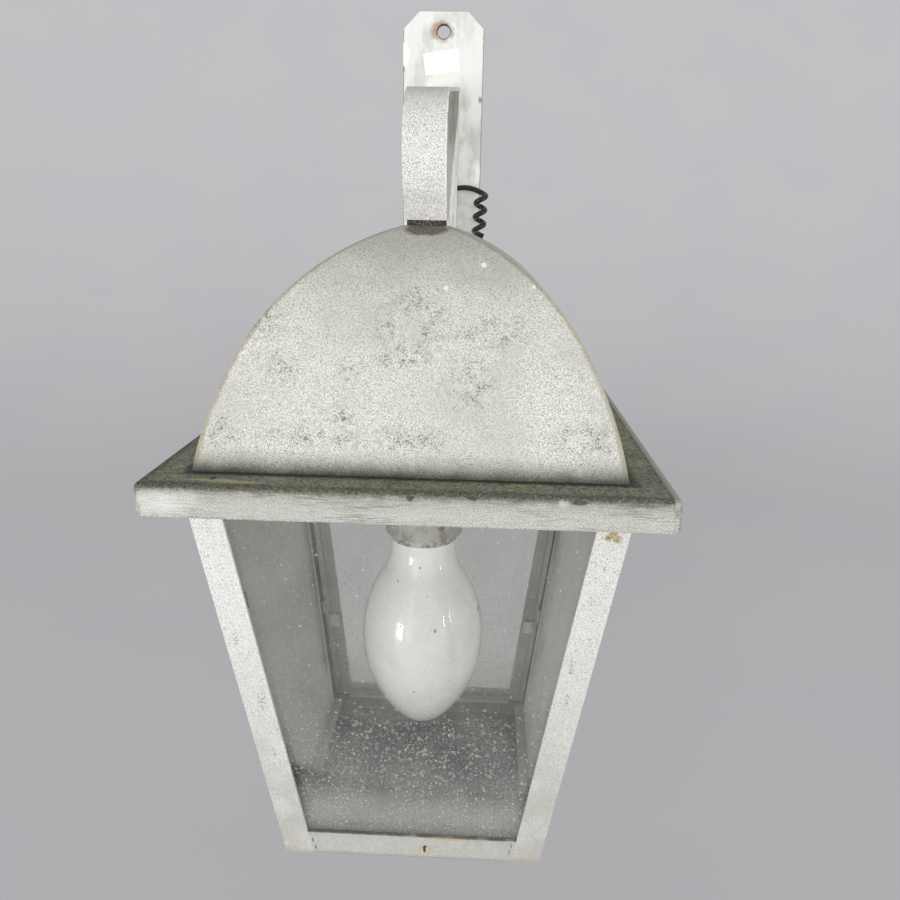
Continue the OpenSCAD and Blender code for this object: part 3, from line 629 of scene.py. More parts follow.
def dome_material():
    graph = Graph("dome_paint_aged_painted_shade")
    colour, bump = pitted_paint(graph, DOME_PALE, PIT)
    colour = clouded(graph, colour, CLOUD, 34, 0.45)
    near = graph.math("ABSOLUTE", graph.math("SUBTRACT", graph.side(), graph.depth()))
    hip = graph.fade(near, 0, HIP_FADE, 6, 2.5 * MM)
    colour = graph.tint(colour, HIP_TAN, hip, 0.6)
    # Olive dirt and painted shade: darker towards the crown, which faces up
    crown = graph.fade(graph.axis("Z"), DOME_TOP, CROWN_DIRT_AND_SHADE_FADE, 22, 24 * MM)
    colour = graph.tint(colour, OLIVE, crown, 0.35)
    specks = graph.patches(0.9, 0.49, 0.57, 5, 0.75)
    clumps = graph.patches(4.5, 0.44, 0.56, 5, 0.7)
    places = graph.marks(DOME_BLOTS, "dome_front", graph.ragged(7, 1.8), 0.6)
    colour = graph.tint(colour, DIRT, specks, clumps, places, 0.8)
    strays = graph.times(graph.patches(1.9, 0.60, 0.68, 5, 0.75), graph.patches(20, 0.48, 0.6, 4, 0.6))
    colour = graph.tint(colour, DIRT, strays, 0.5)
    stain = graph.marks(CROWN_STAIN, "dome_front", graph.ragged(3, 0.8), 0.2)
    grit = graph.mix(graph.patches(0.8, 0.42, 0.62, 3, 0.6), GRIT_DARK, GRIT_PALE)
    colour = graph.tint(colour, grit, stain, 0.92)
    colour = graph.tint(colour, CHALK, graph.marks(DOME_DRIPS, "dome_front", 0.0, 0.2))
    # Grime and painted shade: darker at the foot, where the dome meets the ledge
    uneven = graph.math("ADD", graph.ragged(11, 5 * MM), graph.ragged(0.6, 8 * MM))
    height = graph.math("ADD", graph.axis("Z"), uneven)
    colour = graph.tint(colour, OLIVE, graph.fade(height, BRIM_TOP, FOOT_GRIME_AND_SHADE_OLIVE), 0.75)
    colour = graph.tint(colour, SOOT, graph.fade(height, BRIM_TOP, FOOT_GRIME_AND_SHADE_SOOT), 0.92)
    return graph.finish(graph.surface(colour, 0.6, normal=bump))


# Ledge round the dome: how far from the dome and from the brim's edge each band begins and is full
LEDGE_DARK = linear(78, 81, 63)
LEDGE_PALE = linear(150, 153, 129)
LEDGE_PATCH = linear(158, 159, 140)
LEDGE_STREAK = linear(186, 174, 144)
TAN_FROM_DOME = (0.003, 0.006)
TAN_FROM_EDGE = (-0.005, -0.008)
SOOT_AND_SHADE_FROM_DOME = (0.0055, 0.002)
SOOT_FROM_EDGE = (-0.0060, -0.003)


def ledge_colour(graph):
    """The ledge round the dome: soot and painted shade at the dome's foot, soot along the edge, and olive
    dirt between.
    """
    reach = graph.math("ADD", graph.math("MAXIMUM", graph.side(), graph.depth()), graph.ragged(6, 5 * MM))
    grit = graph.patches(1.1, 0.38, 0.62, 4, 0.7)
    colour = graph.mix(grit, LEDGE_DARK, LEDGE_PALE)
    colour = graph.tint(colour, LEDGE_PATCH, grit, graph.patches(13, 0.42, 0.60, 4, 0.65), 0.85)
    streaks = graph.patches(1.7, 0.5, 0.62, 4, 0.65, graph.stretch((0.12, 0.12, 1)))
    past_dome = graph.fade(reach, DOME_HALF, TAN_FROM_DOME)
    middle = graph.times(past_dome, graph.fade(reach, BRIM_HALF, TAN_FROM_EDGE))
    colour = graph.tint(colour, TAN, middle, streaks, graph.patches(30, 0.46, 0.58, 3), 0.75)
    # Soot and painted shade where the ledge meets the dome
    colour = graph.tint(colour, SOOT, graph.fade(reach, DOME_HALF, SOOT_AND_SHADE_FROM_DOME), 0.85)
    colour = graph.tint(colour, SOOT, graph.fade(reach, BRIM_HALF, SOOT_FROM_EDGE), 0.5)
    colour = graph.tint(colour, CHALK, graph.dots(1.6, 0.2, 0.12), 0.6)
    streak = graph.marks(LEDGE_TAN, "brim", graph.ragged(4, 1.4), 0.5, 1.6)
    colour = graph.tint(colour, LEDGE_STREAK, streak, 0.8)
    rust = graph.marks(LEDGE_RUST, "brim", graph.ragged(1.5, 0.6), 0.3, 2.0)
    return graph.tint(colour, DARK_RUST, rust, 0.9)


# Brim: brushed along its length, dark at its upper edge, tan at its corners, paler at its upper right end
BRIM_PALE = linear(219, 219, 211)
BRIM_PIT = linear(54, 54, 48)
CORNER_TAN = linear(150, 130, 88)
RIGHT_END_PALE = linear(212, 208, 190)
UPPER_DARK = (-0.009, -0.001)
BRINK = (-0.0045, 0)
CORNER_SIDE = (-0.005, -0.001)
CORNER_DEPTH = (-0.006, -0.002)
RIGHT_END_SIDE = (-0.0046, -0.0032)
RIGHT_END_TOP = (-0.004, -0.002)
UPWARD = (0.35, 0.75)


def brim_material():
    graph = Graph("brim_paint_aged_painted_shade")
    colour, bump = pitted_paint(graph, BRIM_PALE, BRIM_PIT)
    brushed = graph.patches(0.6, 0.50, 0.60, 4, 0.7, graph.stretch((0.05, 0.05, 1)))
    patches = graph.step(graph.noise(24, 4, 0.65, graph.stretch((0.6, 0.6, 2))), 0.42, 0.62, 0.15, 1.0)
    colour = graph.tint(colour, OLIVE, brushed, patches, 0.75)
    height = graph.math("ADD", graph.axis("Z"), graph.ragged(8, 5 * MM))
    lines = graph.noise(0.5, 4, 0.7, graph.stretch((0.05, 0.05, 1)))
    dark_lines = graph.step(lines, 0.42, 0.58, 0.3, 1.0)
    colour = graph.tint(colour, OLIVE, graph.fade(height, BRIM_TOP, UPPER_DARK), dark_lines, 0.6)
    colour = graph.tint(colour, DIRT, graph.fade(height, BRIM_TOP, BRINK, 0.7, 4 * MM), 0.8)
    blotches = graph.marks(BRIM_BLOTCHES, "brim", graph.ragged(1.3, 1.6), 0.3)
    colour = graph.tint(colour, SOOT, blotches, 0.75)
    chalk = graph.marks(BRIM_CHALK, "brim", graph.ragged(5, 1.8), 0.9)
    colour = graph.tint(colour, CHALK, chalk, 0.45)
    corner = graph.times(
        graph.fade(graph.side(), BRIM_HALF, CORNER_SIDE),
        graph.fade(graph.depth(), BRIM_HALF, CORNER_DEPTH),
    )
    upright = graph.patches(1.4, 0.46, 0.6, 3, 0.6, graph.stretch((1, 1, 0.12)))
    colour = graph.tint(colour, CORNER_TAN, corner, upright, 0.85)
    flat = graph.fade(graph.normal("Z"), 0, UPWARD, 2.5, 0.9)
    colour = graph.mix(flat, colour, ledge_colour(graph))
    # Paler at the upper right end
    pale_right_end = graph.times(
        graph.fade(graph.axis("X"), BRIM_HALF, RIGHT_END_SIDE),
        graph.fade(graph.axis("Z"), BRIM_TOP, RIGHT_END_TOP),
    )
    colour = graph.tint(colour, RIGHT_END_PALE, pale_right_end, 0.55)
    return graph.finish(graph.surface(colour, 0.62, normal=bump))


# Posts: greyer downwards as painted shade, with painted shade under the brim, chips, stray specks and an
# ochre foot
LEFT_POST_PALE = linear(247, 246, 243)
RIGHT_POST_PALE = linear(238, 237, 233)
POST_PIT = linear(128, 126, 119)
POST_PAINTED_SHADE = linear(158, 157, 147)
CHIP_BROWN = linear(112, 100, 78)
LICHEN_PALE = linear(186, 170, 118)
LICHEN_DARK = linear(118, 100, 48)
OCHRE = linear(160, 136, 96)
POST_PAINTED_SHADE_START = 0.03
UNDER_BRIM_SHADE = (-0.006, 0.001)
OCHRE_FOOT = (0.006, 0)


def post_material(name, pale, chips, node):
    graph = Graph(name)
    colour, bump = pitted_paint(graph, pale, POST_PIT, low=0.34, high=0.52)
    # Painted shade: greyer downwards, away from the light above
    low = graph.step(graph.axis("Z"), BRIM_Z - POST_PAINTED_SHADE_START, BODY_LOW)
    uneven = graph.step(graph.noise(20, 4, 0.6), 0.25, 0.66, 0.5, 1.0)
    colour = graph.tint(colour, POST_PAINTED_SHADE, low, uneven, 0.7)
    fine = graph.patches(1.3, 0.50, 0.62, 4, 0.7)
    chipped = graph.marks(chips, node, graph.ragged(2.4, 1.2), 0.5)
    colour = graph.tint(colour, CHIP_BROWN, chipped, fine, 0.85)
    strays = graph.times(graph.patches(1.6, 0.62, 0.68, 4, 0.7), graph.patches(15, 0.47, 0.58, 3))
    colour = graph.tint(colour, OLIVE, strays, 0.8)
    if "right" in node:
        lichen = graph.marks(LICHEN, node, graph.ragged(1.2, 1.0), 0.6)
        colour = graph.tint(colour, LICHEN_PALE, lichen, 0.7)
        colour = graph.tint(colour, LICHEN_DARK, lichen, graph.patches(0.6, 0.48, 0.54, 3, 0.6))
    # Painted shade under the brim
    colour = graph.tint(colour, DIRT, graph.fade(graph.axis("Z"), BRIM_Z, UNDER_BRIM_SHADE), 0.45)
    foot = graph.fade(graph.axis("Z"), BODY_LOW, OCHRE_FOOT, 3, 4 * MM)
    colour = graph.tint(colour, OCHRE, foot, 0.35)
    return graph.finish(graph.surface(colour, 0.58, normal=bump))


# Bottom bars: dirt along the top and the bottom edge, seams at the front bar's ends, a halo at the screw
BAR_PALE = linear(200, 199, 193)
BAR_PIT = linear(142, 140, 131)
BAR_CLOUD = linear(168, 167, 158)
BAR_STAIN_TAN = linear(176, 144, 92)
HALO_TAN = linear(196, 172, 130)
BAR_TOP_DIRT = (-0.0010, -0.0003)
BAR_LOW_DIRT = (0.003, -0.001)


def bar_material():
    graph = Graph("bar_paint_aged")
    colour, bump = pitted_paint(graph, BAR_PALE, BAR_PIT)
    colour = clouded(graph, colour, BAR_CLOUD, 12, 0.5)
    top = graph.fade(graph.axis("Z"), BAR_TOP, BAR_TOP_DIRT, 3, 1.2 * MM)
    colour = graph.tint(colour, DIRT, top, graph.step(graph.noise(9, 3), 0.36, 0.52, 0.35, 1.0), 0.7)
    stain = graph.marks(BAR_STAIN, "bar_front", graph.ragged(3, 1.0), 0.7)
    colour = graph.tint(colour, BAR_STAIN_TAN, stain, 0.45)
    seams = graph.marks(BAR_SEAMS, "bar_front", graph.ragged(2, 0.8), 0.5)
    colour = graph.tint(colour, SOOT, seams, 0.8)
    halo = graph.marks(SCREW_HALO, "bar_front", graph.ragged(1.6, 0.8), 0.6)
    colour = graph.tint(colour, HALO_TAN, halo, 0.55)
    colour = graph.tint(colour, DIRT, graph.fade(graph.axis("Z"), BODY_LOW, BAR_LOW_DIRT), 0.45)
    return graph.finish(graph.surface(colour, 0.58, normal=bump))


SCREW_PALE = linear(208, 200, 180)
SCREW_BROWN = linear(166, 148, 116)


def screw_material():
    graph = Graph("painted_screw")
    colour, bump = pitted_paint(graph, SCREW_PALE, SCREW_BROWN, 0.8)
    slot = graph.marks(SCREW_SLOT, "tray_screw", graph.ragged(1, 1.0), 0.3)
    colour = graph.tint(colour, SOOT, slot, 0.95)
    return graph.finish(graph.surface(colour, 0.5, normal=bump))


INNER_PALE = linear(226, 225, 218)
INNER_PIT = linear(170, 169, 160)


def inner_material():
    graph = Graph("inner_paint_dusty")
    colour, bump = pitted_paint(graph, INNER_PALE, INNER_PIT, 0.6)
    colour = clouded(graph, colour, OLIVE, 10, 0.3)
    return graph.finish(graph.surface(colour, 0.7, normal=bump))


# Tray: its sheet hangs just under the body, and dark grit with pale specks lies on its upper face
TRAY_FLOOR = BODY_LOW - 0.4 * MM
TRAY_UNDER = (-0.0006, -0.0008)
TRAY_GRIT = linear(88, 92, 98)
TRAY_DARK = linear(40, 43, 49)
FLAKE_FAINT = linear(168, 171, 176)
FLAKE_PALE = linear(214, 216, 218)
FLAKE_WHITE = linear(246, 246, 244)
DRIFT_GREY = linear(150, 149, 143)
TRAY_PAINT = linear(214, 213, 205)
# How far behind the body's axis the pale dust along the tray's hinge begins
DRIFT_START = 0.050
DRIFT_EDGE = (-0.003, 0.003)


def tray_material():
    graph = Graph("tray_dust")
    colour, bump = pitted_paint(graph, TRAY_GRIT, TRAY_DARK, 1.4)
    thick = graph.step(graph.noise(16, 4, 0.6), 0.36, 0.60, 0.25, 0.7)
    colour = graph.tint(colour, FLAKE_FAINT, graph.dots(4.5, 0.36, thick), 0.6)
    colour = graph.tint(colour, FLAKE_PALE, graph.rings(2.6, 0.40, graph.times(thick, 0.8)), 0.75)
    colour = graph.tint(colour, FLAKE_WHITE, graph.dots(1.3, 0.30, graph.times(thick, 0.7)), 0.95)
    behind = graph.math("SUBTRACT", graph.axis("Y"), AXIS_Y + DRIFT_START)
    drift = graph.fade(behind, 0, DRIFT_EDGE, 6, 10 * MM)
    colour = graph.tint(colour, DRIFT_GREY, drift, 0.8)
    under = graph.fade(graph.axis("Z"), TRAY_FLOOR, TRAY_UNDER)
    colour = graph.mix(under, colour, clouded(graph, TRAY_PAINT, OLIVE, 10, 0.35))
    return graph.finish(graph.surface(colour, 0.85, normal=bump))


def metal_material(name, size_mm, pale, dark, rough, metal, dent_mm, dent_depth_mm):
    graph = Graph(name)
    colour = graph.mix(graph.patches(size_mm, 0.35, 0.7, 4, 0.6), pale, dark)
    bump = graph.bump(graph.noise(dent_mm, 3), dent_depth_mm, 0.4)
    return graph.finish(graph.surface(colour, rough, metal=metal, normal=bump))


ZINC = ("dull_zinc", 3, linear(176, 174, 163), linear(132, 128, 116), 0.5, 0.3, 0.8, 0.05)
BRASS = ("dull_brass", 4, linear(172, 146, 88), linear(112, 92, 60), 0.4, 0.9, 1.2, 0.04)
PORCELAIN_DIRT = linear(122, 122, 112)
PORCELAIN_PALE = linear(206, 206, 198)
HOLDER_GREY = linear(186, 185, 178)
HOLDER_CAP_GREY = linear(196, 195, 184)


def porcelain_material(name, base):
    graph = Graph(name)
    colour = clouded(graph, base, PORCELAIN_DIRT, 7, 0.7)
    colour = clouded(graph, colour, PORCELAIN_PALE, 2.6, 0.35, 0.5, 0.7)
    if name == "holder_porcelain":
        rust = graph.marks(HOLDER_RUST, "holder_body", graph.ragged(1.6, 1.0))
        colour = graph.tint(colour, RUST, rust, 0.8)
    bump = graph.bump(graph.noise(2, 3), 0.05, 0.3)
    return graph.finish(graph.surface(colour, 0.36, normal=bump, coat=0.25, coat_rough=0.2))


# Lamp: white below, and grey and streaked on its neck
LAMP_WHITE = linear(252, 251, 247)
LAMP_CREAM = linear(232, 230, 222)
LAMP_TIP_GREY = linear(206, 205, 196)
NECK_DARK = linear(132, 132, 126)
NECK_PALE = linear(196, 197, 192)
SPECK_BROWN = linear(112, 78, 56)
SPECK_FAINT = linear(150, 140, 124)
LAMP_TIP_FADE = (-0.150, -0.172)
LAMP_GREY_BAND_TOP = 0.0508
LAMP_GREY_BAND_EDGE = (-0.0003, 0.0003)
# Painted glow: a faint emission in the lamp's colour, standing in for light that reaches the white coating
# from the far side and comes out again
LAMP_PAINTED_GLOW = 0.05


def lamp_material():
    graph = Graph("lamp_white_coating_painted_glow")
    colour = clouded(graph, LAMP_WHITE, LAMP_CREAM, 12, 0.4)
    colour = graph.tint(colour, LAMP_TIP_GREY, graph.fade(graph.axis("Z"), BRIM_Z, LAMP_TIP_FADE), 0.35)
    # A grey, streaked band on the neck, above where the white ends
    clear = graph.fade(graph.axis("Z"), BRIM_Z - LAMP_GREY_BAND_TOP, LAMP_GREY_BAND_EDGE)
    streaks = graph.mix(graph.patches(3, 0.4, 0.6, 3), NECK_DARK, NECK_PALE)
    colour = graph.mix(clear, colour, streaks)
    specks = graph.marks(LAMP_SPECKS, "lamp_glass", graph.ragged(0.8, 0.8), 0.3)
    colour = graph.tint(colour, SPECK_BROWN, specks, 0.75)
    colour = graph.tint(colour, SPECK_FAINT, graph.dots(3.0, 0.09, 0.10), 0.7)
    shader = graph.surface(colour, 0.32, coat=1.0, coat_rough=0.02)
    # Painted glow: the unlit lamp emits faintly in its own colour
    glow_inputs = shader.node.inputs
    graph.feed(glow_inputs["Emission Color"], colour)
    graph.feed(glow_inputs["Emission Strength"], LAMP_PAINTED_GLOW)
    return graph.finish(shader)


# Dust film on the glass: how much it covers seen straight on, on each of the pane's two faces
FILM_THIN = 0.03
FILM_THICK = 0.08
FILM_LOW = 0.18
FILM_LOW_FADE = (-0.160, -0.186)
SIDE_FILM = 4.0
REAR_FILM = 2.2
# How slanted a view the film's cover is worked out for, at most
LEAST_SLANT = 0.07
# Specks of dust: where they begin to be more, downwards, and how many there are above and below
SPECKS_FADE = (-0.09, -0.165)
SPECKS_LOW = 0.60
SPECKS_HIGH = 0.05
CLEAR_GLASS = (0.985, 0.985, 0.980, 1)
GLASS_IOR = 1.35
DUST_PALE = linear(228, 228, 222)
DUST_THROUGH = linear(216, 216, 208)
# The body's half widths at the brim and at its foot, and its height, give the lean of the side panes
BODY_TOP_HALF = 0.0965
BODY_LOW_HALF = 0.068
BODY_H = 0.2092
LEAN = (BODY_TOP_HALF - BODY_LOW_HALF) / BODY_H
# Putty colours for the painted shade at the side panes' rear ends, and the painted glint line's width
PUTTY_SHADE_DARK = linear(98, 100, 99)
PUTTY_SHADE_PALE = linear(130, 131, 127)
POST_LAP = 0.0095
PANE_GLINT_W = 0.0035
PANE_LINE_EDGE = (0, 0.0002)


def glass_material(name, along, load_share=1.0):
    """Dusty glass whose cut edges, the faces that look along an axis, are pale: a painted glint drawn as
    powder.
    """
    graph = Graph(name)
    clear = graph.node("ShaderNodeBsdfTransparent")
    clear.inputs["Color"].default_value = CLEAR_GLASS
    shine = graph.node("ShaderNodeBsdfGlossy")
    shine.inputs["Roughness"].default_value = 0.03
    edge = graph.node("ShaderNodeFresnel")
    edge.inputs["IOR"].default_value = GLASS_IOR
    pane = graph.blend(edge.outputs[0], clear.outputs[0], shine.outputs[0])
    low = graph.math("ADD", graph.axis("Z"), graph.ragged(9, 26 * MM, 5.0))
    low = graph.fade(low, BRIM_Z, FILM_LOW_FADE)
    smear = graph.step(graph.noise(30, 5, 0.6), 0.35, 0.7, FILM_THIN, FILM_THICK)
    grit = graph.step(graph.noise(0.8, 3, 0.6), 0.35, 0.65, 0.5, 1.3)
    load = graph.times(graph.math("ADD", smear, graph.times(low, FILM_LOW)), grit, load_share)
    facing = graph.node("ShaderNodeLayerWeight")
    facing.inputs["Blend"].default_value = 0.5
    slant = graph.math("MAXIMUM", graph.math("SUBTRACT", 1.0, facing.outputs["Facing"]), LEAST_SLANT)
    seen_through = graph.math("EXPONENT", graph.math("DIVIDE", graph.times(load, -1.0), slant))
    film = graph.math("SUBTRACT", 1.0, seen_through)
    down = graph.fade(graph.axis("Z"), BRIM_Z, SPECKS_FADE)
    clumps = graph.step(graph.noise(11, 4, 0.65), 0.36, 0.60, 0.35, 1.2)
    few = graph.times(graph.math("ADD", graph.times(down, SPECKS_LOW), SPECKS_HIGH), clumps)
    specks = graph.most(
        graph.times(graph.dots(4.0, 0.20, graph.times(few, 0.7)), 0.9),
        graph.times(graph.rings(2.3, 0.30, few), 0.8),
        graph.times(graph.dots(1.1, 0.34, few), 0.6),
    )
    dust = graph.node("ShaderNodeBsdfDiffuse")
    dust.inputs["Color"].default_value = DUST_PALE
    lit_through = graph.node("ShaderNodeBsdfTranslucent")
    lit_through.inputs["Color"].default_value = DUST_THROUGH
    powder = graph.blend(0.4, dust.outputs[0], lit_through.outputs[0])
    # Painted glint: the cut edges are drawn as pale powder
    cut = graph.step(graph.math("ABSOLUTE", graph.normal(along)), 0.6, 0.8, 0.0, 0.75)
    covered = graph.blend(graph.most(film, specks, cut), pane, powder)
    if along == "Y":
        covered = side_pane_end(graph, covered)
    return graph.finish(covered)


def side_pane_end(graph, covered):
    """A side pane's rear end: a painted glint as a pale line, and painted shade as dark putty where the
    glass laps the post.
    """
    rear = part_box("pane_left")[1]
    end = rear.y - AXIS_Y - LEAN * (rear.z - BRIM_Z)
    back = graph.math("SUBTRACT", graph.axis("Y"), AXIS_Y)
    fall = graph.times(graph.math("SUBTRACT", graph.axis("Z"), BRIM_Z), LEAN)
    reach = graph.math("SUBTRACT", back, fall)
    # Painted shade: dark putty where the post's flange lies in shadow behind the glass
    putty = graph.node("ShaderNodeBsdfDiffuse")
    graph.feed(putty.inputs["Color"], graph.mix(graph.patches(1.2, 0.4, 0.6, 3), PUTTY_SHADE_DARK, PUTTY_SHADE_PALE))
    lap = end - POST_LAP
    behind = graph.fade(reach, lap, PANE_LINE_EDGE)
    # Painted glint: a pale line along the pane's cut edge
    line = graph.fade(reach, lap - PANE_GLINT_W, PANE_LINE_EDGE)
    glint = graph.node("ShaderNodeBsdfDiffuse")
    glint.inputs["Color"].default_value = CHALK
    glinted = graph.blend(graph.times(line, 0.75), covered, glint.outputs[0])
    return graph.blend(behind, glinted, putty.outputs[0])


LABEL_WHITE = linear(255, 255, 255)
LABEL_SHADE = linear(244, 244, 242)


def label_material():
    graph = Graph("blank_label_paper")
    colour = clouded(graph, LABEL_WHITE, LABEL_SHADE, 4, 0.4)
    return graph.finish(graph.surface(colour, 0.55, normal=graph.bump(graph.noise(0.6, 3), 0.02, 0.4)))


SEAL_BLACK = linear(60, 60, 58)
LEAD_BLACK = linear(13, 14, 14)
RUBBER_DUST = linear(112, 116, 106)
RUBBER_DUST_COVER = 0.14


def rubber_material(name, base, shine, coat=0.0):
    graph = Graph(name)
    dust = graph.step(graph.noise(2.2, 4, 0.7), 0.50, 0.72, 0.0, RUBBER_DUST_COVER)
    colour = graph.mix(dust, base, RUBBER_DUST)
    bump = graph.bump(graph.noise(0.7, 3), 0.05, 0.4)
    return graph.finish(graph.surface(colour, shine, normal=bump, coat=coat, coat_rough=0.15))


GASKET_DARK = linear(42, 39, 35)
GASKET_PALE = linear(112, 107, 98)


def gasket_material():
    graph = Graph("neck_gasket_dirt_and_pipe_shade")
    colour = graph.mix(graph.patches(0.9, 0.42, 0.62, 3, 0.6), GASKET_DARK, GASKET_PALE)
    return graph.finish(graph.surface(colour, 0.85, normal=graph.bump(graph.noise(0.8, 3), 0.12, 0.6)))


MATERIALS = {
    plate_material(): ["wall_plate"],
    spine_material(): ["spine_channel"],
    arm_material(): ["arm_outer_strap", "arm_inner_strap"],
    cheek_material(): ["arm_cheek_left", "arm_cheek_right"],
    dome_material(): ["dome_front", "dome_rear", "dome_left", "dome_right"],
    brim_material(): ["brim"],
    post_material("left_post_paint", LEFT_POST_PALE, LEFT_POST_CHIPS, "post_front_left"): [
        "post_front_left", "post_rear_left",
    ],
    post_material("right_post_paint", RIGHT_POST_PALE, RIGHT_POST_CHIPS, "post_front_right"): [
        "post_front_right", "post_rear_right",
    ],
    bar_material(): ["bar_front", "bar_rear", "bar_left", "bar_right"],
    screw_material(): ["tray_screw"],
    inner_material(): [
        "rail_front", "rail_rear", "rail_left", "rail_right",
        "tray_hinge_leaves", "holder_strap", "pane_clips",
    ],
    tray_material(): ["bottom_tray"],
    metal_material(*ZINC): [
        "neck_washer", "neck_nut", "tray_hinge_pin", "tray_nut", "strap_screws", "strap_nuts",
    ],
    metal_material(*BRASS): [
        "holder_pipe", "holder_nuts", "holder_shell", "holder_spring", "holder_terminals", "lamp_cap",
    ],
    porcelain_material("holder_porcelain", HOLDER_GREY): ["holder_body", "holder_insert"],
    porcelain_material("holder_cap_porcelain", HOLDER_CAP_GREY): ["holder_cap"],
    lamp_material(): ["lamp_glass"],
    glass_material("dusty_pane_painted_glint", "X"): ["pane_front"],
    glass_material("dusty_rear_pane_painted_glint", "X", REAR_FILM): ["pane_rear"],
    glass_material("dusty_side_pane_painted_glint_and_shade", "Y", SIDE_FILM): ["pane_left", "pane_right"],
    label_material(): ["blank_label"],
    # The neck pipe wears the gasket's dark colours as painted shade, to match the strap's shaded underside
    gasket_material(): ["neck_gasket", "neck_pipe"],
    rubber_material("lamp_seal_black", SEAL_BLACK, 0.4): ["lamp_tip"],
    rubber_material("lead_black", LEAD_BLACK, 0.3, 0.6): ["lead_inner", "lead_cores"],
}
# Edges sharper than this stay sharp; two nodes with wide facets have their own angle
SMOOTH_DEG = 32
SMOOTH_MORE_DEG = {"arm_outer_strap": 62, "brim": 40}
BEVEL_ANGLE_DEG = 50
BEVEL_MM = {
    "wall_plate": 0.7, "arm_outer_strap": 0.4, "spine_channel": 0.4, "holder_body": 1.0,
    "post_front_left": 0.5, "post_front_right": 0.5, "post_rear_left": 0.5, "post_rear_right": 0.5,
    "bar_front": 0.4, "bar_rear": 0.4, "bar_left": 0.4, "bar_right": 0.4,
}


def dress_nodes():
    for material, names in MATERIALS.items():
        for name in names:
            mesh = nodes[name].data
            mesh.materials.clear()
            mesh.materials.append(material)
            mesh.shade_smooth()
            sharp = SMOOTH_MORE_DEG.get(name, SMOOTH_DEG)
            mesh.set_sharp_from_angle(angle=math.radians(sharp))
    for name, width in BEVEL_MM.items():
        bevel = nodes[name].modifiers.new("edge", "BEVEL")
        bevel.width = width * MM
        bevel.segments = 2
        bevel.limit_method = "ANGLE"
        bevel.angle_limit = math.radians(BEVEL_ANGLE_DEG)
    even = nodes["arm_outer_strap"].modifiers.new("even_shading", "WEIGHTED_NORMAL")
    even.keep_sharp = True
    lead.data.materials.append(bpy.data.materials["lead_black"])


dress_nodes()

# Toe of the arm: the strap's front comes down to the gasket in a tighter curve than the solid's plain arc.
# It leaves the arc TOE_FRONT before the body's axis and ends TOE_END before it, both in millimetres
TOE_FRONT = 14
TOE_END = 9
TOE_STEPS = 10
TOE_SIDE_GAP = 0.1
TOE_SUNK = 0.4
# The middle of the strap's arc, behind the axis and above the gasket
NOSE_Y = 11
NOSE_LIFT = 30.59


def make_toe():
    """A filler between the strap's arc and the gasket, with one profile drawn across the strap's width."""
    foot_z = (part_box("neck_gasket")[1].z - BRIM_Z) / MM
    strap_low, strap_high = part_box("arm_outer_strap")
    radius = NOSE_Y - (strap_low.y - AXIS_Y) / MM
    nose_z = foot_z + NOSE_LIFT

    def arc_z(y, radius):
        return nose_z - math.sqrt(radius * radius - (y - NOSE_Y) ** 2)

    top = Vector((-TOE_FRONT, arc_z(-TOE_FRONT, radius)))
    slope = (nose_z - top.y) / (NOSE_Y + TOE_FRONT)
    bend = Vector((-TOE_END, top.y - (TOE_FRONT - TOE_END) / slope))
    low = Vector((-TOE_END, foot_z))
    profile = []
    for k in range(TOE_STEPS + 1):
        t = k / TOE_STEPS
        profile.append(top * (1 - t) ** 2 + bend * 2 * t * (1 - t) + low * t * t)
    profile.append(Vector((0, foot_z)))
    for k in range(TOE_STEPS + 1):
        y = -TOE_FRONT * k / TOE_STEPS
        profile.append(Vector((y, arc_z(y, radius - TOE_SUNK))))
    half = strap_high.x / MM - TOE_SIDE_GAP
    count = len(profile)
    verts = [at_axis(side * half, p.x, p.y) for side in (-1, 1) for p in profile]
    faces = [(k, (k + 1) % count, count + (k + 1) % count, count + k) for k in range(count)]
    faces += [tuple(range(count - 1, -1, -1)), tuple(range(count, 2 * count))]
    mesh = bpy.data.meshes.new("arm_toe")
    mesh.from_pydata(verts, [], faces)
    mesh.shade_smooth()
    mesh.set_sharp_from_angle(angle=math.radians(SMOOTH_DEG))
    mesh.materials.append(bpy.data.materials["arm_paint_aged_painted_shade"])
    piece = bpy.data.objects.new("arm_toe", mesh)
    scene.collection.objects.link(piece)
    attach(piece, "lantern")


make_toe()

# Crumbs of paint and putty lying in the tray
CRUMB_SEED = 11
CRUMB_COUNT = 900
CRUMB_SPREAD = 60
CRUMB_SIDES = 6
# A crumb's radius in millimetres is the least one and a share of the rest, with small ones the most common
CRUMB_LEAST = 0.35
CRUMB_MORE = 1.7
CRUMB_PALE = linear(250, 250, 248)
CRUMB_GREY = linear(168, 170, 172)


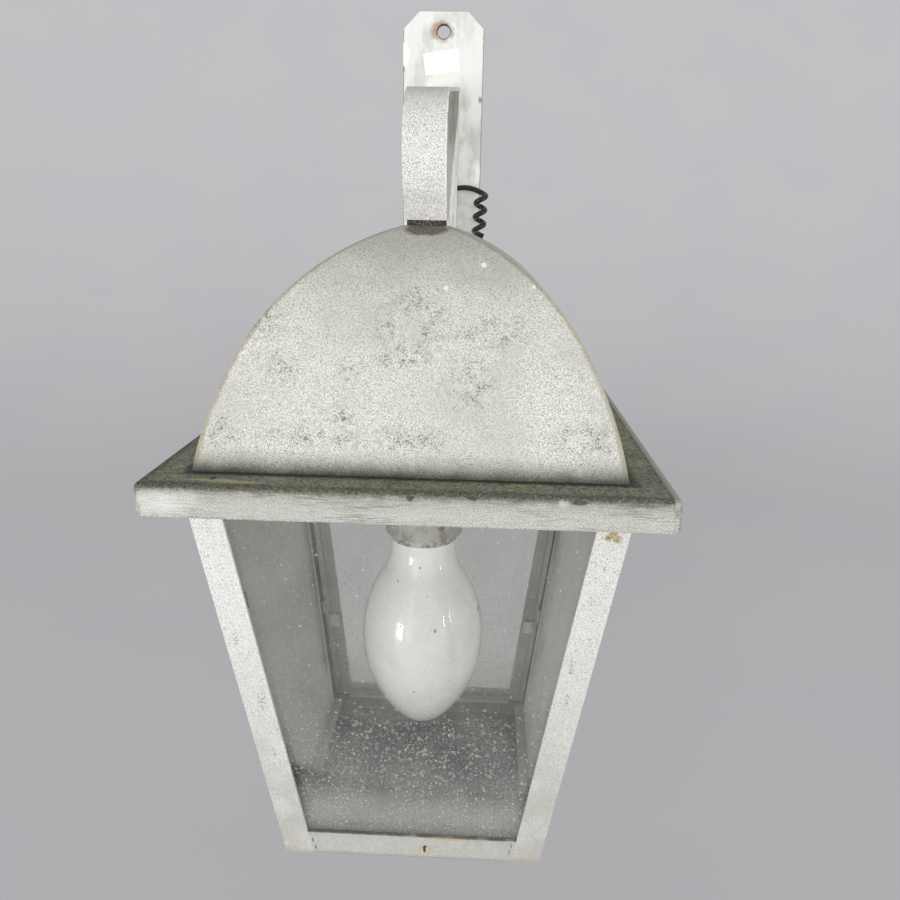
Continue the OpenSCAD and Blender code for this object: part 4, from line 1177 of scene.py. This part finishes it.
def make_crumbs():
    draw = random.Random(CRUMB_SEED)
    verts = []
    faces = []
    for _ in range(CRUMB_COUNT):
        size = (CRUMB_LEAST + CRUMB_MORE * draw.random() ** 3) * MM
        x = draw.uniform(-CRUMB_SPREAD, CRUMB_SPREAD) * MM
        y = AXIS_Y + draw.uniform(-CRUMB_SPREAD, CRUMB_SPREAD) * MM
        first = len(verts)
        turn = draw.uniform(0, math.pi)
        for k in range(CRUMB_SIDES):
            angle = turn + 2 * math.pi * k / CRUMB_SIDES
            reach = size * draw.uniform(0.7, 1.1)
            verts.append((x + reach * math.cos(angle), y + reach * math.sin(angle), TRAY_FLOOR))
        verts.append((x, y, TRAY_FLOOR + size * draw.uniform(0.9, 1.5)))
        faces.append(tuple(first + k for k in reversed(range(CRUMB_SIDES))))
        for k in range(CRUMB_SIDES):
            faces.append((first + k, first + (k + 1) % CRUMB_SIDES, first + CRUMB_SIDES))
    mesh = bpy.data.meshes.new("tray_crumbs")
    mesh.from_pydata(verts, [], faces)
    piece = bpy.data.objects.new("tray_crumbs", mesh)
    scene.collection.objects.link(piece)
    graph = Graph("pale_crumbs")
    colour = graph.mix(graph.patches(3, 0.4, 0.6, 2), CRUMB_PALE, CRUMB_GREY)
    mesh.materials.append(graph.finish(graph.surface(colour, 0.8)))
    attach(piece, "tray")


make_crumbs()

# Floor: flat under the lantern, and curving up into a wall all round, so that every view has plain ground
FLOOR_DROP = 0.17
FLOOR_FLAT = 1.2
WALL_R = 3.6
CURVE_H = 2.6
WALL_H = 6.0
CURVE_STEPS = 20
FLOOR_SIDES = 96
FLOOR_PALE = linear(231, 231, 233)
FLOOR_SHADE = linear(229, 229, 232)


def make_floor():
    level = cad_low.z - FLOOR_DROP
    profile = []
    for k in range(CURVE_STEPS + 1):
        angle = k / CURVE_STEPS * math.pi / 2
        radius = FLOOR_FLAT + (WALL_R - FLOOR_FLAT) * math.sin(angle)
        profile.append((radius, level + CURVE_H * (1 - math.cos(angle))))
    profile.append((WALL_R, level + WALL_H))
    verts = [(0, AXIS_Y, level)]
    for radius, z in profile:
        for side in range(FLOOR_SIDES):
            angle = 2 * math.pi * side / FLOOR_SIDES
            verts.append((radius * math.cos(angle), AXIS_Y + radius * math.sin(angle), z))
    faces = [(0, 1 + side, 1 + (side + 1) % FLOOR_SIDES) for side in range(FLOOR_SIDES)]
    for ring in range(len(profile) - 1):
        first = 1 + ring * FLOOR_SIDES
        for side in range(FLOOR_SIDES):
            after = (side + 1) % FLOOR_SIDES
            outer = first + FLOOR_SIDES
            faces.append((first + side, outer + side, outer + after, first + after))
    mesh = bpy.data.meshes.new("floor")
    mesh.from_pydata(verts, [], faces)
    mesh.shade_smooth()
    floor = bpy.data.objects.new("floor", mesh)
    scene.collection.objects.link(floor)
    graph = Graph("pale_floor")
    colour = graph.mix(graph.patches(300, 0.3, 0.7, 3), FLOOR_SHADE, FLOOR_PALE)
    mesh.materials.append(graph.finish(graph.surface(colour, 0.9, specular=0.1)))
    floor.visible_diffuse = False
    floor.visible_glossy = False
    floor.visible_shadow = False


# Lights: azimuth from straight ahead, positive to the right, and elevation, in degrees; distance and
# size in metres; power in watts. They stand outside the floor's wall, which casts no shadow
LIGHTS = {
    "window_left": (-41, -8, 4.4, (1.3, 1.1), 46),
    "window_right_a": (45, 2, 4.4, (0.24, 0.74), 18),
    "window_right_b": (57, 2, 4.4, (0.24, 0.74), 18),
    "window_tall": (-22, 8, 4.4, (0.9, 3.6), 18),
    "front_soft": (2, 8, 4.4, (3.6, 2.3), 66),
}
# The height that the lights are turned to, in millimetres from the brim's underside
AIM_Z = -20
WORLD_TINT = (0.985, 0.98, 1.0, 1.0)
WORLD_STRENGTH = 0.46


def make_lights():
    middle = at_axis(0, 0, AIM_Z)
    for name, (azimuth, elevation, distance, size, power) in LIGHTS.items():
        data = bpy.data.lights.new(name, "AREA")
        data.shape = "RECTANGLE"
        data.size, data.size_y = size
        data.energy = power
        light = bpy.data.objects.new(name, data)
        scene.collection.objects.link(light)
        across = math.radians(azimuth)
        up = math.radians(elevation)
        away = Vector((math.sin(across) * math.cos(up), -math.cos(across) * math.cos(up), math.sin(up)))
        light.location = middle + away * distance
        light.rotation_mode = "QUATERNION"
        light.rotation_quaternion = away.to_track_quat("Z", "Y")
        light.visible_glossy = name.startswith("window")
    world = bpy.data.worlds.new("soft_grey")
    world.use_nodes = True
    background = world.node_tree.nodes["Background"]
    background.inputs["Color"].default_value = WORLD_TINT
    background.inputs["Strength"].default_value = WORLD_STRENGTH
    scene.world = world


make_floor()
make_lights()
scene.view_settings.view_transform = "Standard"
